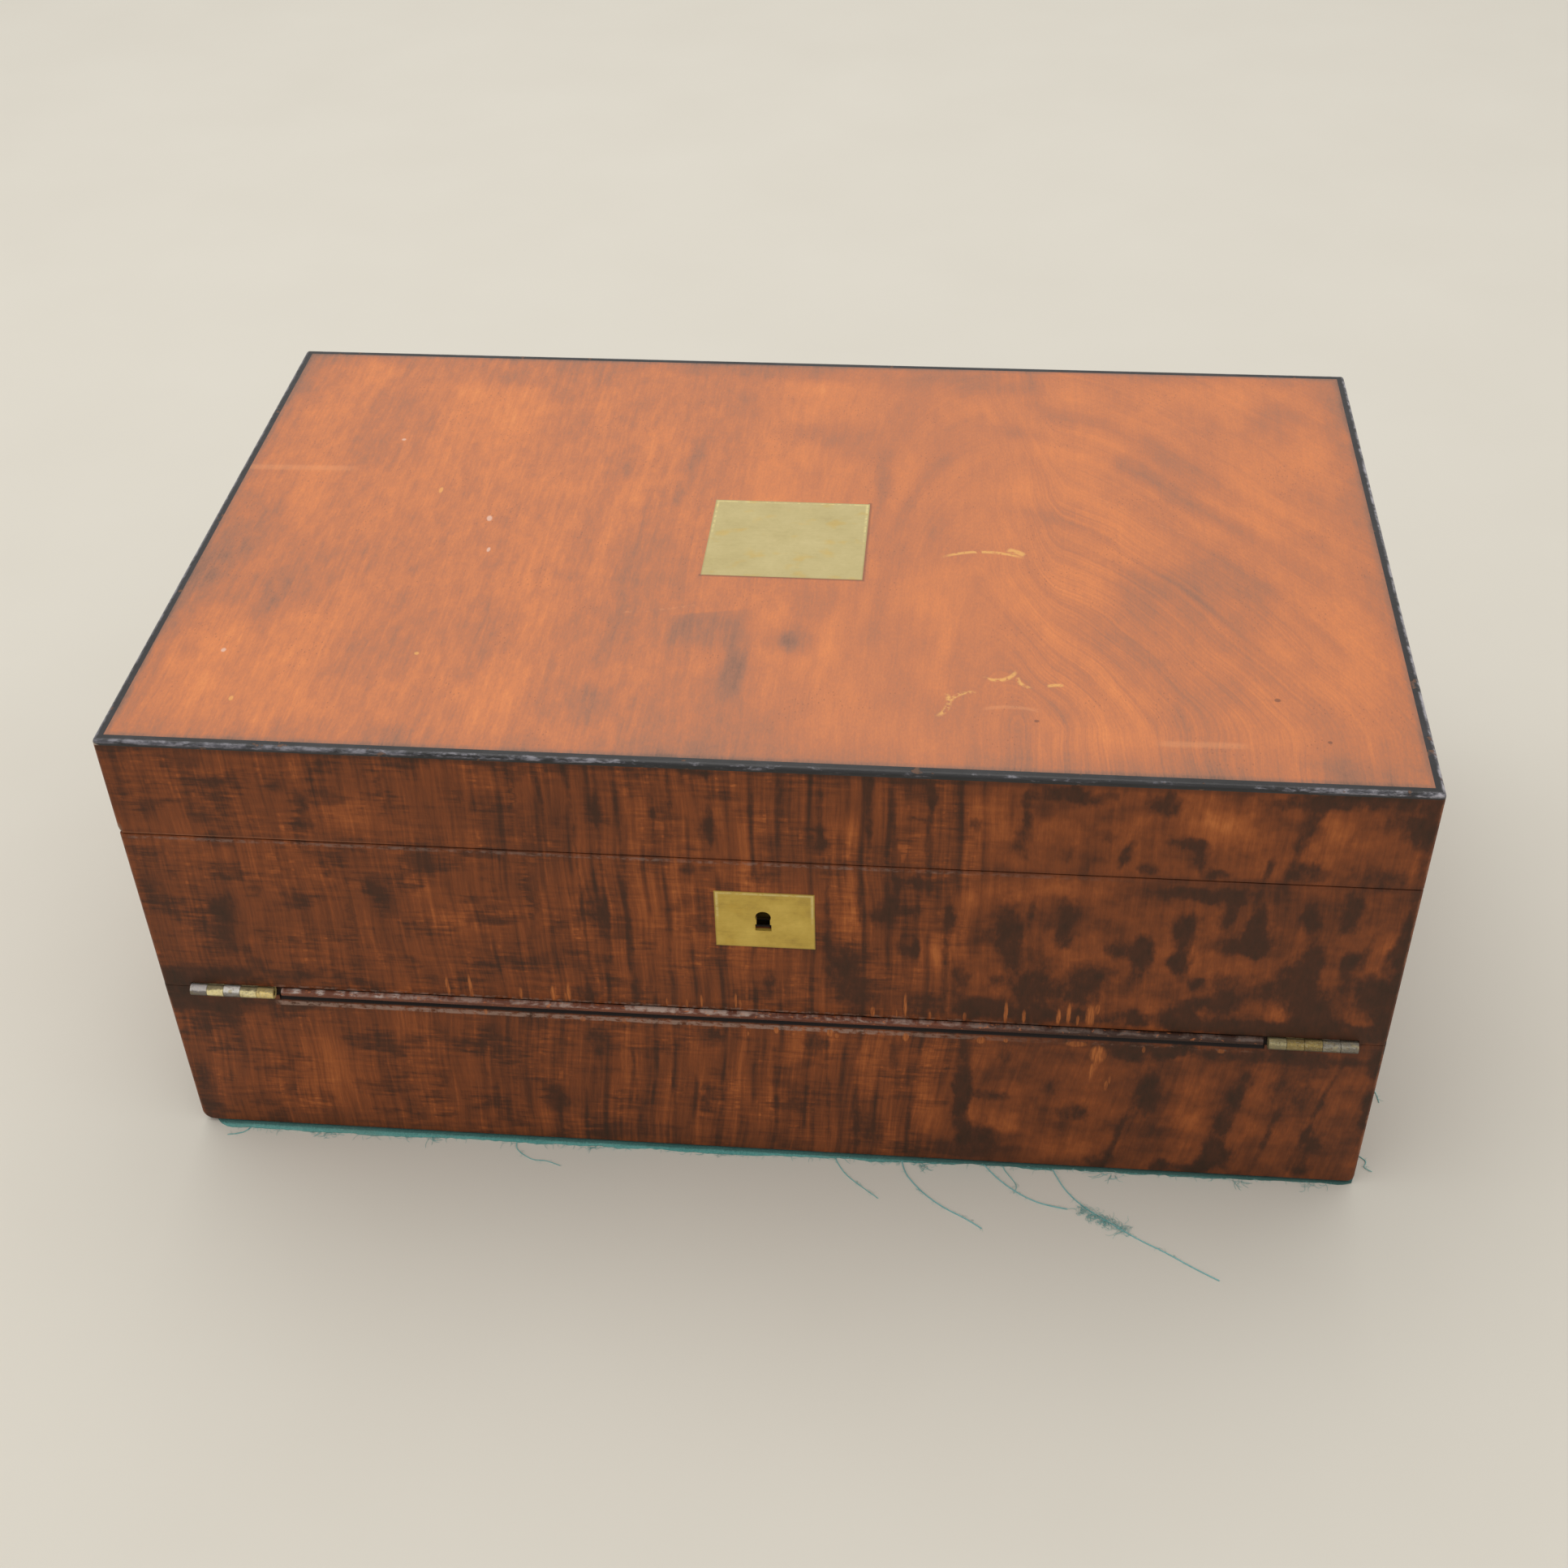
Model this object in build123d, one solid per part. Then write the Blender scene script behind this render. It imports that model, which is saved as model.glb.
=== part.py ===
from build123d import *
import math
import os

# A mahogany writing slope of the kind that opens three ways.  Closed, it is a
# plain box on a baize sole.  The lid is hinged along the back.  The middle
# section is a flap, hinged along the front, which folds forward until it lies
# level on the table, and then its face and the face of the base make one
# sloping writing surface.  Behind the slope stands a fixed part with the
# inkwells, the pen tray and the letter rack.
#
# Frame: X to the right, Y to the back, Z up.  The origin is the middle of the
# footprint, on the table.  All lengths are millimetres.

# ---------------------------------------------------------------- dimensions
W = 406.0            # width of the wood
D = 250.0            # depth of the wood
T = 9.0              # thickness of the walls
BAIZE_T = 1.0        # baize under the base
Z_TOP = 175.2        # top of the lid
Z_S1 = 137.4         # seam between the lid and what is under it
HALF_GAP = 0.15      # half of the gap in that seam
BOTTOM_T = 8.0       # bottom board
PANEL_T = 7.0        # lid panel
FLAP_PANEL_T = 6.0   # board that closes the top of the flap
EDGE = 3.0           # ebonised edging round the lid, its width on top
EDGE_H = 1.9         # and its height on the sides

SLOPE_DEG = 18.0     # slope of the writing surface
AX_Y = -D / 2 - 1.0  # front hinge axis, a little proud of the front
AX_Z = 69.05        # a little over half of the seam above, so that the open flap clears the table
LAX_Y = D / 2 + 1.0  # back hinge axis
LAX_Z = Z_S1
BARREL_R = 2.0       # hinge knuckles
BEAD_R = 1.34        # bead between the front hinges
BEAD_Y = -D / 2 - 0.6
BEAD_Z = AX_Z + 0.47
CORNER_L = 4.2       # worn rounding of the base's lower front corners
CORNER_R = 2.6
PIN_R = 0.9
BORE_R = 0.95
COVE_R = 2.3         # hollow in the wood round a barrel
LEAF_T = 1.15        # brass of the hinge leaves
SLOPE_GAP = 0.12     # half of the gap between the two sloping faces

FH_LEN = 28.6        # front hinges, 1 1/8 in
FH_X = (-193.0, 165.2)       # left end of each front hinge
BH_LEN = 38.0        # back hinges, 1 1/2 in
BH_X = (-158.0, 120.0)

LOCK_X = 1.9         # keyhole, a little right of the middle
KEY_Z = 113.7
ESC = (-13.5, 18.4, 100.7, 124.4)   # escutcheon, x and z
ESC_T = 1.2
PLATE = (-27.2, 27.2, -24.5, 22.8)  # blank plate in the lid, x and y
PLATE_T = 1.0

LEAF_BOARD_T = 6.0   # the two boards of the writing surface
LEAF_BAIZE_T = 0.7
RISER_T = 6.0        # board behind the slope
RACK_Y = 57.0        # front of the letter rack's board
RACK_T = 5.0
SHELF_Z = 72.0       # shelf under the inkwells and the pen tray
SHELF_T = 5.0
INK_W = 48.0         # width of an inkwell's place

# --------------------------------------------------------------- helpers
os.makedirs("parts", exist_ok=True)
PARTS = {}
a = math.radians(SLOPE_DEG)
SIN, COS, TAN = math.sin(a), math.cos(a), math.tan(a)
X0, X1, Y0, Y1 = -W / 2, W / 2, -D / 2, D / 2
XI0, XI1, YI0, YI1 = X0 + T, X1 - T, Y0 + T, Y1 - T
ZB = BAIZE_T
Z_LOW = Z_S1 - HALF_GAP     # top of what is under the lid
Z_HIGH = Z_S1 + HALF_GAP    # bottom of the lid


def bx(x0, x1, y0, y1, z0, z1):
    """A box between two corners."""
    return Pos((x0 + x1) / 2, (y0 + y1) / 2, (z0 + z1) / 2) * Box(
        abs(x1 - x0), abs(y1 - y0), abs(z1 - z0)
    )


def sl(x0, x1, u0, u1, n0, n1):
    """A box in the slope's own frame: u up the slope from the front hinge axis, n square to it."""
    b = Pos((x0 + x1) / 2, (u0 + u1) / 2, (n0 + n1) / 2) * Box(
        abs(x1 - x0), abs(u1 - u0), abs(n1 - n0)
    )
    return Pos(0, AX_Y, AX_Z) * Rot(SLOPE_DEG, 0, 0) * b


def lb(x0, x1, u0, u1, n0, n1):
    """A box in the back hinge's frame: u towards the front from its axis, n up."""
    return bx(x0, x1, LAX_Y - u0, LAX_Y - u1, LAX_Z + n0, LAX_Z + n1)


def cx(x0, x1, y, z, r):
    """A cylinder along X."""
    return Pos((x0 + x1) / 2, y, z) * Rot(0, 90, 0) * Cylinder(r, abs(x1 - x0))


def cz(x, y, z0, z1, r):
    """A cylinder along Z."""
    return Pos(x, y, (z0 + z1) / 2) * Cylinder(r, abs(z1 - z0))


def cy(x, z, y0, y1, r):
    """A cylinder along Y."""
    return Pos(x, (y0 + y1) / 2, z) * Rot(90, 0, 0) * Cylinder(r, abs(y1 - y0))


def prism(pts, x0, x1):
    """A YZ outline carried along X."""
    wire = Polyline(*[(x0, y, z) for y, z in pts], close=True)
    return extrude(make_face(wire), amount=abs(x1 - x0), dir=(1, 0, 0))


def edges_near(part, tests):
    """The part's edges whose middle passes one of the tests."""
    out = []
    for e in part.edges():
        m = e @ 0.5
        if any(t(m, e) for t in tests):
            out.append(e)
    return out


def soften(part, r, *tests):
    """Round the edges that the tests pick."""
    picked = edges_near(part, tests)
    return fillet(picked, r) if picked else part


def near(v, w, tol=0.01):
    return abs(v - w) < tol


def upright(x, y):
    return lambda m, e: near(m.X, x) and near(m.Y, y)


def along_x(y, z):
    return lambda m, e: near(m.Y, y, 0.02) and near(m.Z, z, 0.02)


def slope_z(y, n=0.0):
    """Height of the slope, moved n square to itself, at a given y."""
    return AX_Z + (y - AX_Y) * TAN + n / COS


def save(name, *solids):
    """Keep a node: one solid, or a group of separate ones."""
    flat = []
    for s in solids:
        flat += list(s.solids())
    PARTS[name] = flat


def countersunk(length, head=2.1, shank=0.95):
    """A countersunk wood screw, head up at z = 0, with a slot in the head."""
    s = Pos(0, 0, -0.6) * Cone(shank, head, 1.2)
    s += Pos(0, 0, -length / 2) * Cylinder(shank, length)
    return s


def slotted(screw, turn=0.0):
    return screw - Rot(0, 0, turn) * (Pos(0, 0, -0.15) * Box(6, 0.5, 0.5))


# ----------------------------------------------------------- front hinges
def barrel_parts(x0, length, count, axis_y, axis_z):
    """The knuckles of a hinge as two lists: the fixed leaf's and the moving leaf's."""
    step = length / count
    own, other = [], []
    for i in range(count):
        lo, hi = x0 + i * step, x0 + (i + 1) * step
        lo += 0.08 if i else 0.0
        hi -= 0.08 if i < count - 1 else 0.0
        (own if i % 2 == 0 else other).append((lo, hi))
    return own, other


F_BASE, F_FLAP, F_PINS, F_BASE_CUT, F_FLAP_CUT = [], [], [], None, None
F_BASE_SCREWS, F_FLAP_SCREWS = [], []
slope_frame = Pos(0, AX_Y, AX_Z) * Rot(SLOPE_DEG, 0, 0)
for hx in FH_X:
    own, other = barrel_parts(hx, FH_LEN, 5, AX_Y, AX_Z)
    leaf_b = sl(hx, hx + FH_LEN, 2.2, 9.6, -SLOPE_GAP - LEAF_T, -SLOPE_GAP)
    leaf_f = sl(hx, hx + FH_LEN, 2.2, 9.6, SLOPE_GAP, SLOPE_GAP + LEAF_T)
    F_BASE_CUT = leaf_b if F_BASE_CUT is None else F_BASE_CUT + leaf_b
    F_FLAP_CUT = leaf_f if F_FLAP_CUT is None else F_FLAP_CUT + leaf_f
    bore = cx(hx - 1, hx + FH_LEN + 1, AX_Y, AX_Z, BORE_R)
    for lo, hi in own:
        leaf_b += cx(lo, hi, AX_Y, AX_Z, BARREL_R)
        leaf_b += sl(lo, hi, 0.6, 2.4, -SLOPE_GAP - LEAF_T, -SLOPE_GAP)
        F_BASE_CUT += sl(lo, hi, 1.9, 2.4, -SLOPE_GAP - LEAF_T, -SLOPE_GAP)
    for lo, hi in other:
        leaf_f += cx(lo, hi, AX_Y, AX_Z, BARREL_R)
        leaf_f += sl(lo, hi, 0.6, 2.4, SLOPE_GAP, SLOPE_GAP + LEAF_T)
        F_FLAP_CUT += sl(lo, hi, 1.9, 2.4, SLOPE_GAP, SLOPE_GAP + LEAF_T)
    leaf_b -= bore
    leaf_f -= bore
    for k in (0.17, 0.5, 0.83):
        sx = hx + FH_LEN * k
        down = slope_frame * Pos(sx, 6.0, -SLOPE_GAP) * countersunk(9.0)
        up = slope_frame * Pos(sx, 6.0, SLOPE_GAP) * Rot(180, 0, 0) * countersunk(9.0)
        leaf_b -= down
        leaf_f -= up
        F_BASE_SCREWS.append((down, slope_frame * Pos(sx, 6.0, -SLOPE_GAP) * Rot(0, 0, 37 * k * 3) * slotted(countersunk(9.0))))
        F_FLAP_SCREWS.append((up, slope_frame * Pos(sx, 6.0, SLOPE_GAP) * Rot(180, 0, 0) * Rot(0, 0, 61 * k * 3) * slotted(countersunk(9.0))))
    F_BASE.append(leaf_b)
    F_FLAP.append(leaf_f)
    F_PINS.append(cx(hx + 0.1, hx + FH_LEN - 0.1, AX_Y, AX_Z, PIN_R))

save("front_hinge_base_leaves", *F_BASE)
save("front_hinge_flap_leaves", *F_FLAP)
save("front_hinge_flap_screws", *[s for _, s in F_FLAP_SCREWS])

# ------------------------------------------------------------ back hinges
B_BASE, B_LID, B_PINS, B_BASE_CUT, B_LID_CUT = [], [], [], None, None
B_BASE_SCREWS, B_LID_SCREWS = [], []
for hx in BH_X:
    own, other = barrel_parts(hx, BH_LEN, 5, LAX_Y, LAX_Z)
    leaf_b = lb(hx, hx + BH_LEN, 2.2, 9.2, -HALF_GAP - LEAF_T, -HALF_GAP)
    leaf_l = lb(hx, hx + BH_LEN, 2.2, 9.2, HALF_GAP, HALF_GAP + LEAF_T)
    B_BASE_CUT = leaf_b if B_BASE_CUT is None else B_BASE_CUT + leaf_b
    B_LID_CUT = leaf_l if B_LID_CUT is None else B_LID_CUT + leaf_l
    bore = cx(hx - 1, hx + BH_LEN + 1, LAX_Y, LAX_Z, BORE_R)
    for lo, hi in own:
        leaf_b += cx(lo, hi, LAX_Y, LAX_Z, BARREL_R)
        leaf_b += lb(lo, hi, 0.6, 2.4, -HALF_GAP - LEAF_T, -HALF_GAP)
        B_BASE_CUT += lb(lo, hi, 1.9, 2.4, -HALF_GAP - LEAF_T, -HALF_GAP)
    for lo, hi in other:
        leaf_l += cx(lo, hi, LAX_Y, LAX_Z, BARREL_R)
        leaf_l += lb(lo, hi, 0.6, 2.4, HALF_GAP, HALF_GAP + LEAF_T)
        B_LID_CUT += lb(lo, hi, 1.9, 2.4, HALF_GAP, HALF_GAP + LEAF_T)
    leaf_b -= bore
    leaf_l -= bore
    for k in (0.15, 0.5, 0.85):
        sx = hx + BH_LEN * k
        at = Pos(sx, LAX_Y - 5.8, LAX_Z - HALF_GAP)
        up_at = Pos(sx, LAX_Y - 5.8, LAX_Z + HALF_GAP) * Rot(180, 0, 0)
        leaf_b -= at * countersunk(10.0)
        leaf_l -= up_at * countersunk(10.0)
        B_BASE_SCREWS.append((at * countersunk(10.0), at * Rot(0, 0, 50 * k) * slotted(countersunk(10.0))))
        B_LID_SCREWS.append((up_at * countersunk(10.0), up_at * Rot(0, 0, 80 * k) * slotted(countersunk(10.0))))
    B_BASE.append(leaf_b)
    B_LID.append(leaf_l)
    B_PINS.append(cx(hx + 0.1, hx + BH_LEN - 0.1, LAX_Y, LAX_Z, PIN_R))

save("back_hinge_base_leaves", *B_BASE)
save("back_hinge_lid_leaves", *B_LID)
save("hinge_pins", *F_PINS, *B_PINS)
save("base_hinge_screws", *[s for _, s in F_BASE_SCREWS + B_BASE_SCREWS])

# ------------------------------------------------- bead between the hinges
# A thin rounded strip glued to the base.  It lies wholly inside the hinge
# barrels' own circle, so that the flap turns past it, and it stops a little
# short of each hinge.
BEAD_X0 = FH_X[0] + FH_LEN + 2.6
BEAD_X1 = FH_X[1] - 1.7
web = sl(BEAD_X0, BEAD_X1, 0.3, 3.6, -1.7, -0.35)
bead = cx(BEAD_X0, BEAD_X1, BEAD_Y, BEAD_Z, BEAD_R) + web
save("front_joint_bead", bead)

cove_front = cx(FH_X[0] - 0.3, FH_X[1] + FH_LEN + 0.3, AX_Y, AX_Z, COVE_R)
cove_back = None
for hx in BH_X:
    c = cx(hx - 0.3, hx + BH_LEN + 0.3, LAX_Y, LAX_Z, COVE_R)
    cove_back = c if cove_back is None else cove_back + c

# -------------------------------------------------------------------- base
z_base_front = slope_z(Y0, -SLOPE_GAP)
front = prism(
    [(Y0, ZB), (YI0, ZB), (YI0, slope_z(YI0, -SLOPE_GAP)), (Y0, z_base_front)], X0, X1
)


def worn_corner(side, r0, r1=0.5, run=70.0):
    """What wear took off a lower corner of the base: deepest in front, fading to the back."""
    xf = X0 if side < 0 else X1
    rounds, corners = [], []
    for y, r in ((Y0 - 0.5, r0), (Y0 + run, r1)):
        at = Plane(origin=(xf - side * r, y, ZB + r), x_dir=(1, 0, 0), z_dir=(0, 1, 0))
        rounds.append(at * Circle(r))
        # the square between the circle's middle and a millimetre outside the corner
        at = Plane(
            origin=(xf + side * (1 - r) / 2, y, ZB + (r - 1) / 2), x_dir=(1, 0, 0), z_dir=(0, 1, 0)
        )
        corners.append(at * Rectangle(r + 1, r + 1))
    return loft(corners) - loft(rounds)


WORN = worn_corner(-1, CORNER_L) + worn_corner(1, CORNER_R)
front -= WORN
front = soften(
    front, 1.2,
    upright(X0, Y0),
    upright(X1, Y0),
    along_x(Y0, ZB),
    lambda m, e: near(m.Y, Y0) and m.Z < ZB + 5 and abs(m.X) > X1 - 5,
)
front -= cove_front
front -= web
# worn groove under the bead
front -= prism([(Y0 - 1, 64.2), (Y0, 64.8), (Y0 + 1.7, 67.2), (Y0 - 1, 67.6)], BEAD_X0 - 1.6, BEAD_X1 + 1.0)
front -= F_BASE_CUT
for s, _ in F_BASE_SCREWS:
    front -= s
save("base_front_wall", front)

back = bx(X0, X1, YI1, Y1, ZB, Z_LOW)
back = soften(back, 1.4, upright(X0, Y1), upright(X1, Y1))
back = soften(back, 0.6, along_x(Y1, Z_LOW), along_x(Y1, ZB))
back -= cove_back
back -= B_BASE_CUT
for s, _ in B_BASE_SCREWS:
    back -= s
save("base_back_wall", back)

side_pts = [
    (YI0, ZB),
    (YI1, ZB),
    (YI1, Z_LOW),
    (0.0, Z_LOW),
    (0.0, slope_z(0.0, -SLOPE_GAP)),
    (YI0, slope_z(YI0, -SLOPE_GAP)),
]
left = prism(side_pts, X0, XI0)
right = prism(side_pts, XI1, X1)
left = soften(left, 0.6, lambda m, e: near(m.X, X0) and near(m.Z, Z_LOW, 0.02))
right = soften(right, 0.6, lambda m, e: near(m.X, X1) and near(m.Z, Z_LOW, 0.02))
left -= WORN
right -= WORN
save("base_left_wall", left)
save("base_right_wall", right)

save("base_bottom_board", bx(XI0, XI1, YI0, YI1, ZB, ZB + BOTTOM_T))
save("base_baize", bx(X0 + 0.4, X1 - 0.4, Y0 + 0.4, Y1 - 0.4, 0.0, ZB))

FLOOR = ZB + BOTTOM_T
SHELF_TOP = SHELF_Z + SHELF_T

save("ink_shelf", bx(XI0, XI1, 0.0, RACK_Y, SHELF_Z, SHELF_TOP))
riser = bx(XI0, XI1, 0.0, RISER_T, SHELF_TOP, Z_LOW - 1.2)
riser = soften(riser, 0.8, along_x(0.0, Z_LOW - 1.2), along_x(RISER_T, Z_LOW - 1.2))
save("slope_riser", riser)
rack = bx(XI0, XI1, RACK_Y, RACK_Y + RACK_T, FLOOR, 133.0)
rack = soften(rack, 0.8, along_x(RACK_Y, 133.0), along_x(RACK_Y + RACK_T, 133.0))
save("rack_front_board", rack)

RACK_DIV_T = 3.0
rack_dividers = []
for xm in (-62.0, 62.0):
    d = bx(xm - RACK_DIV_T / 2, xm + RACK_DIV_T / 2, RACK_Y + RACK_T, YI1, FLOOR, 128.0)
    # finger hollow in the top edge
    d -= cx(xm - 5, xm + 5, (RACK_Y + RACK_T + YI1) / 2, 134.0, 16.0)
    rack_dividers.append(d)
save("rack_dividers", *rack_dividers)

INK_DIV_T = 4.0
ink_l1 = XI0 + INK_W
ink_r0 = XI1 - INK_W
save(
    "inkwell_dividers",
    bx(ink_l1, ink_l1 + INK_DIV_T, RISER_T, RACK_Y, SHELF_TOP, 131.0),
    bx(ink_r0 - INK_DIV_T, ink_r0, RISER_T, RACK_Y, SHELF_TOP, 131.0),
)
TRAY_X0, TRAY_X1 = ink_l1 + INK_DIV_T, ink_r0 - INK_DIV_T
TRAY_Z0, TRAY_Z1 = 107.0, 131.0
save(
    "pen_tray_rests",
    bx(TRAY_X0, TRAY_X0 + 6, RISER_T, RACK_Y, 102.0, TRAY_Z0),
    bx(TRAY_X1 - 6, TRAY_X1, RISER_T, RACK_Y, 102.0, TRAY_Z0),
)

# upper half of the writing surface, over the paper well
y_cut0, y_cut1 = YI0 + 0.3, -0.4
window = bx(X0, X1, y_cut0, y_cut1, 0, 200)
leaf = sl(XI0 + 0.4, XI1 - 0.4, 5, 140, -SLOPE_GAP - LEAF_BOARD_T, -SLOPE_GAP) & window
notch = Pos(0, AX_Y, AX_Z) * Rot(SLOPE_DEG, 0, 0) * Pos(0, 132.0, -3.0) * Cylinder(9.0, 20)
pad_u = (24.0, 119.0)
pad = sl(XI0 + 16, XI1 - 16, pad_u[0], pad_u[1], -SLOPE_GAP - LEAF_BAIZE_T, -SLOPE_GAP)
save("upper_writing_leaf", leaf - pad - notch)
save("upper_leaf_baize", pad)
bear = [
    sl(x0, x1, 5, 140, -SLOPE_GAP - LEAF_BOARD_T - 6, -SLOPE_GAP - LEAF_BOARD_T)
    & bx(X0, X1, YI0, 0.0, 0, 200)
    for x0, x1 in ((XI0, XI0 + 6), (XI1 - 6, XI1))
]
save("upper_leaf_bearers", *bear)

# -------------------------------------------------------------------- flap
flap_y1 = -0.35      # back face of the flap
rail_t = 8.0
f_front = prism(
    [(Y0, slope_z(Y0, SLOPE_GAP)), (YI0, slope_z(YI0, SLOPE_GAP)), (YI0, Z_LOW), (Y0, Z_LOW)],
    X0,
    X1,
)
f_front = soften(f_front, 1.4, upright(X0, Y0), upright(X1, Y0))
f_front = soften(f_front, 0.5, along_x(Y0, Z_LOW))
f_front -= cove_front
f_front -= F_FLAP_CUT
for s, _ in F_FLAP_SCREWS:
    f_front -= s

# lock
LC = (LOCK_X - 22, LOCK_X + 22)      # case, x
LCY = (Y0 + 1.8, Y0 + 7.8)           # case, y
LCZ = (99.0, 135.75)
PLY = (Y0 + 7.8, YI0)                # back plate, y
PL = (LOCK_X - 26, LOCK_X + 26)
SEL = (LOCK_X - 27, LOCK_X + 27)     # selvedge, in the top edge
LOOPS = (LOCK_X - 12.0, LOCK_X + 12.0)
LOOP_Y = (Y0 + 3.0, Y0 + 6.0)        # the loops drift back in the slots as lid and flap part
SLOT_Y = (Y0 + 2.6, Y0 + 8.0)
key_round = cy(LOCK_X, KEY_Z, Y0 - 1, Y0 + 4.5, 2.5)
keyhole = (
    key_round
    + bx(LOCK_X - 2.2, LOCK_X + 2.2, Y0 - 1, Y0 + 4.5, 109.3, KEY_Z)
    + bx(LOCK_X - 2.6, LOCK_X + 2.6, Y0 - 1, Y0 + 4.5, 107.9, 110.6)
)
esc = bx(ESC[0], ESC[1], Y0 - 0.08, Y0 + ESC_T, ESC[2], ESC[3])
f_front -= esc
f_front -= bx(LC[0], LC[1], LCY[0], LCY[1], LCZ[0], LCZ[1])
f_front -= bx(PL[0], PL[1], PLY[0], PLY[1], 95.0, Z_LOW)
f_front -= bx(SEL[0], SEL[1], Y0 + 1.0, YI0, 135.75, Z_LOW)
f_front -= keyhole

save("escutcheon", esc - keyhole)

# lock case: front and sides, open at the back where the back plate closes it
case = bx(LC[0], LC[1], LCY[0], LCY[1], LCZ[0], LCZ[1])
case -= bx(LC[0] + 1, LC[1] - 1, LCY[0] + 1, LCY[1] + 1, LCZ[0] + 1, LCZ[1] + 1)
case -= keyhole
save("lock_case", case)
plate = bx(PL[0], PL[1], PLY[0], PLY[1], 95.0, 135.75)
plate += bx(SEL[0], SEL[1], Y0 + 1.0, YI0, 135.75, Z_LOW)
for lx in LOOPS:
    plate -= bx(lx - 1.6, lx + 1.6, SLOT_Y[0], SLOT_Y[1], 134.0, 140.0)
lock_screw_at = [(LOCK_X - 24, 100.0), (LOCK_X + 24, 100.0), (LOCK_X - 24, 129.0), (LOCK_X + 24, 129.0)]
lock_screws = []
for sx, sz in lock_screw_at:
    at = Pos(sx, YI0, sz) * Rot(-90, 0, 0)
    plate -= at * countersunk(6.5, 1.9, 0.8)
    f_front -= at * countersunk(6.5, 1.9, 0.8)
    lock_screws.append(at * Rot(0, 0, sx) * slotted(countersunk(6.5, 1.9, 0.8)))
save("lock_plate", plate)
save("lock_screws", *lock_screws)
save("flap_front_wall", f_front)
# key pin, lever and spring inside the case
key_pin = cy(LOCK_X, KEY_Z, LCY[0] + 1.6, LCY[1], 0.9)
lever_y = (LCY[1] - 1.2, LCY[1] - 0.2)
lever = bx(LOCK_X - 17, LOCK_X + 9, lever_y[0], lever_y[1], 116.6, 119.6)
lever += cy(LOCK_X - 17, 118.1, lever_y[0], lever_y[1], 2.6)
lever += bx(LOCK_X + 6, LOCK_X + 9, lever_y[0], lever_y[1], 112.0, 117.0)
stud = cy(LOCK_X - 17, 118.1, LCY[0] + 1.0, LCY[1], 1.1)
lever -= stud
save("lock_lever", lever)
save("lock_pins", key_pin, stud)
spring = bx(LOCK_X - 12, LOCK_X + 4, lever_y[0], lever_y[1] - 0.2, 106.0, 106.5)
spring += bx(LOCK_X + 3.5, LOCK_X + 4, lever_y[0], lever_y[1] - 0.2, 106.0, 108.2)
spring += bx(LOCK_X - 12, LOCK_X - 11.5, lever_y[0], lever_y[1] - 0.2, 100.0, 106.5)
save("lock_spring", spring)
# bolt: a bar with two hooked fingers that pass through the lid's loops
BOLT_Y = (Y0 + 3.95, Y0 + 5.05)
bar = bx(LOOPS[0] - 8.1, LOCK_X + 12, Y0 + 2.9, Y0 + 6.4, 123.0, 129.6)
bar -= bx(LOCK_X - 3, LOCK_X + 3, Y0 + 2, Y0 + 7, 122.0, 125.4)
for lx in LOOPS:
    bar += bx(lx - 8.1, lx - 5.6, BOLT_Y[0], BOLT_Y[1], 128.0, 134.3)
    bar += bx(lx - 5.7, lx - 1.5, BOLT_Y[0], BOLT_Y[1], 132.2, 134.3)
save("lock_bolt", bar)

f_side = [
    (YI0, slope_z(YI0, SLOPE_GAP)),
    (flap_y1, slope_z(flap_y1, SLOPE_GAP)),
    (flap_y1, Z_LOW),
    (YI0, Z_LOW),
]
fl = prism(f_side, X0, XI0)
fr = prism(f_side, XI1, X1)
fl = soften(fl, 0.5, lambda m, e: near(m.X, X0) and near(m.Z, Z_LOW, 0.02))
fr = soften(fr, 0.5, lambda m, e: near(m.X, X1) and near(m.Z, Z_LOW, 0.02))
save("flap_left_wall", fl)
save("flap_right_wall", fr)
rail_y0 = flap_y1 - rail_t
save(
    "flap_rear_rail",
    prism(
        [
            (rail_y0, slope_z(rail_y0, SLOPE_GAP)),
            (flap_y1, slope_z(flap_y1, SLOPE_GAP)),
            (flap_y1, Z_LOW),
            (rail_y0, Z_LOW),
        ],
        XI0,
        XI1,
    ),
)
save("flap_top_panel", bx(XI0, XI1, YI0, rail_y0, Z_LOW - FLAP_PANEL_T, Z_LOW))

fwin = bx(X0, X1, YI0 + 0.3, rail_y0 - 0.3, 0, 200)
fleaf = sl(XI0 + 0.4, XI1 - 0.4, 5, 140, SLOPE_GAP, SLOPE_GAP + LEAF_BOARD_T) & fwin
fpad_u = (24.0, 111.0)
fpad = sl(XI0 + 16, XI1 - 16, fpad_u[0], fpad_u[1], SLOPE_GAP, SLOPE_GAP + LEAF_BAIZE_T)
fnotch = Pos(0, AX_Y, AX_Z) * Rot(SLOPE_DEG, 0, 0) * Pos(0, 123.5, 3.0) * Cylinder(9.0, 20)
save("lower_writing_leaf", fleaf - fpad - fnotch)
save("lower_leaf_baize", fpad)
fbear = [
    sl(x0, x1, 5, 140, SLOPE_GAP + LEAF_BOARD_T, SLOPE_GAP + LEAF_BOARD_T + 5)
    & bx(X0, X1, YI0, rail_y0, 0, Z_LOW - FLAP_PANEL_T)
    for x0, x1 in ((XI0, XI0 + 6), (XI1 - 6, XI1))
]
save("lower_leaf_bearers", *fbear)

# --------------------------------------------------------------------- lid
Z_PANEL = Z_TOP - PANEL_T
Z_EDGE = Z_TOP - EDGE_H


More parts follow.
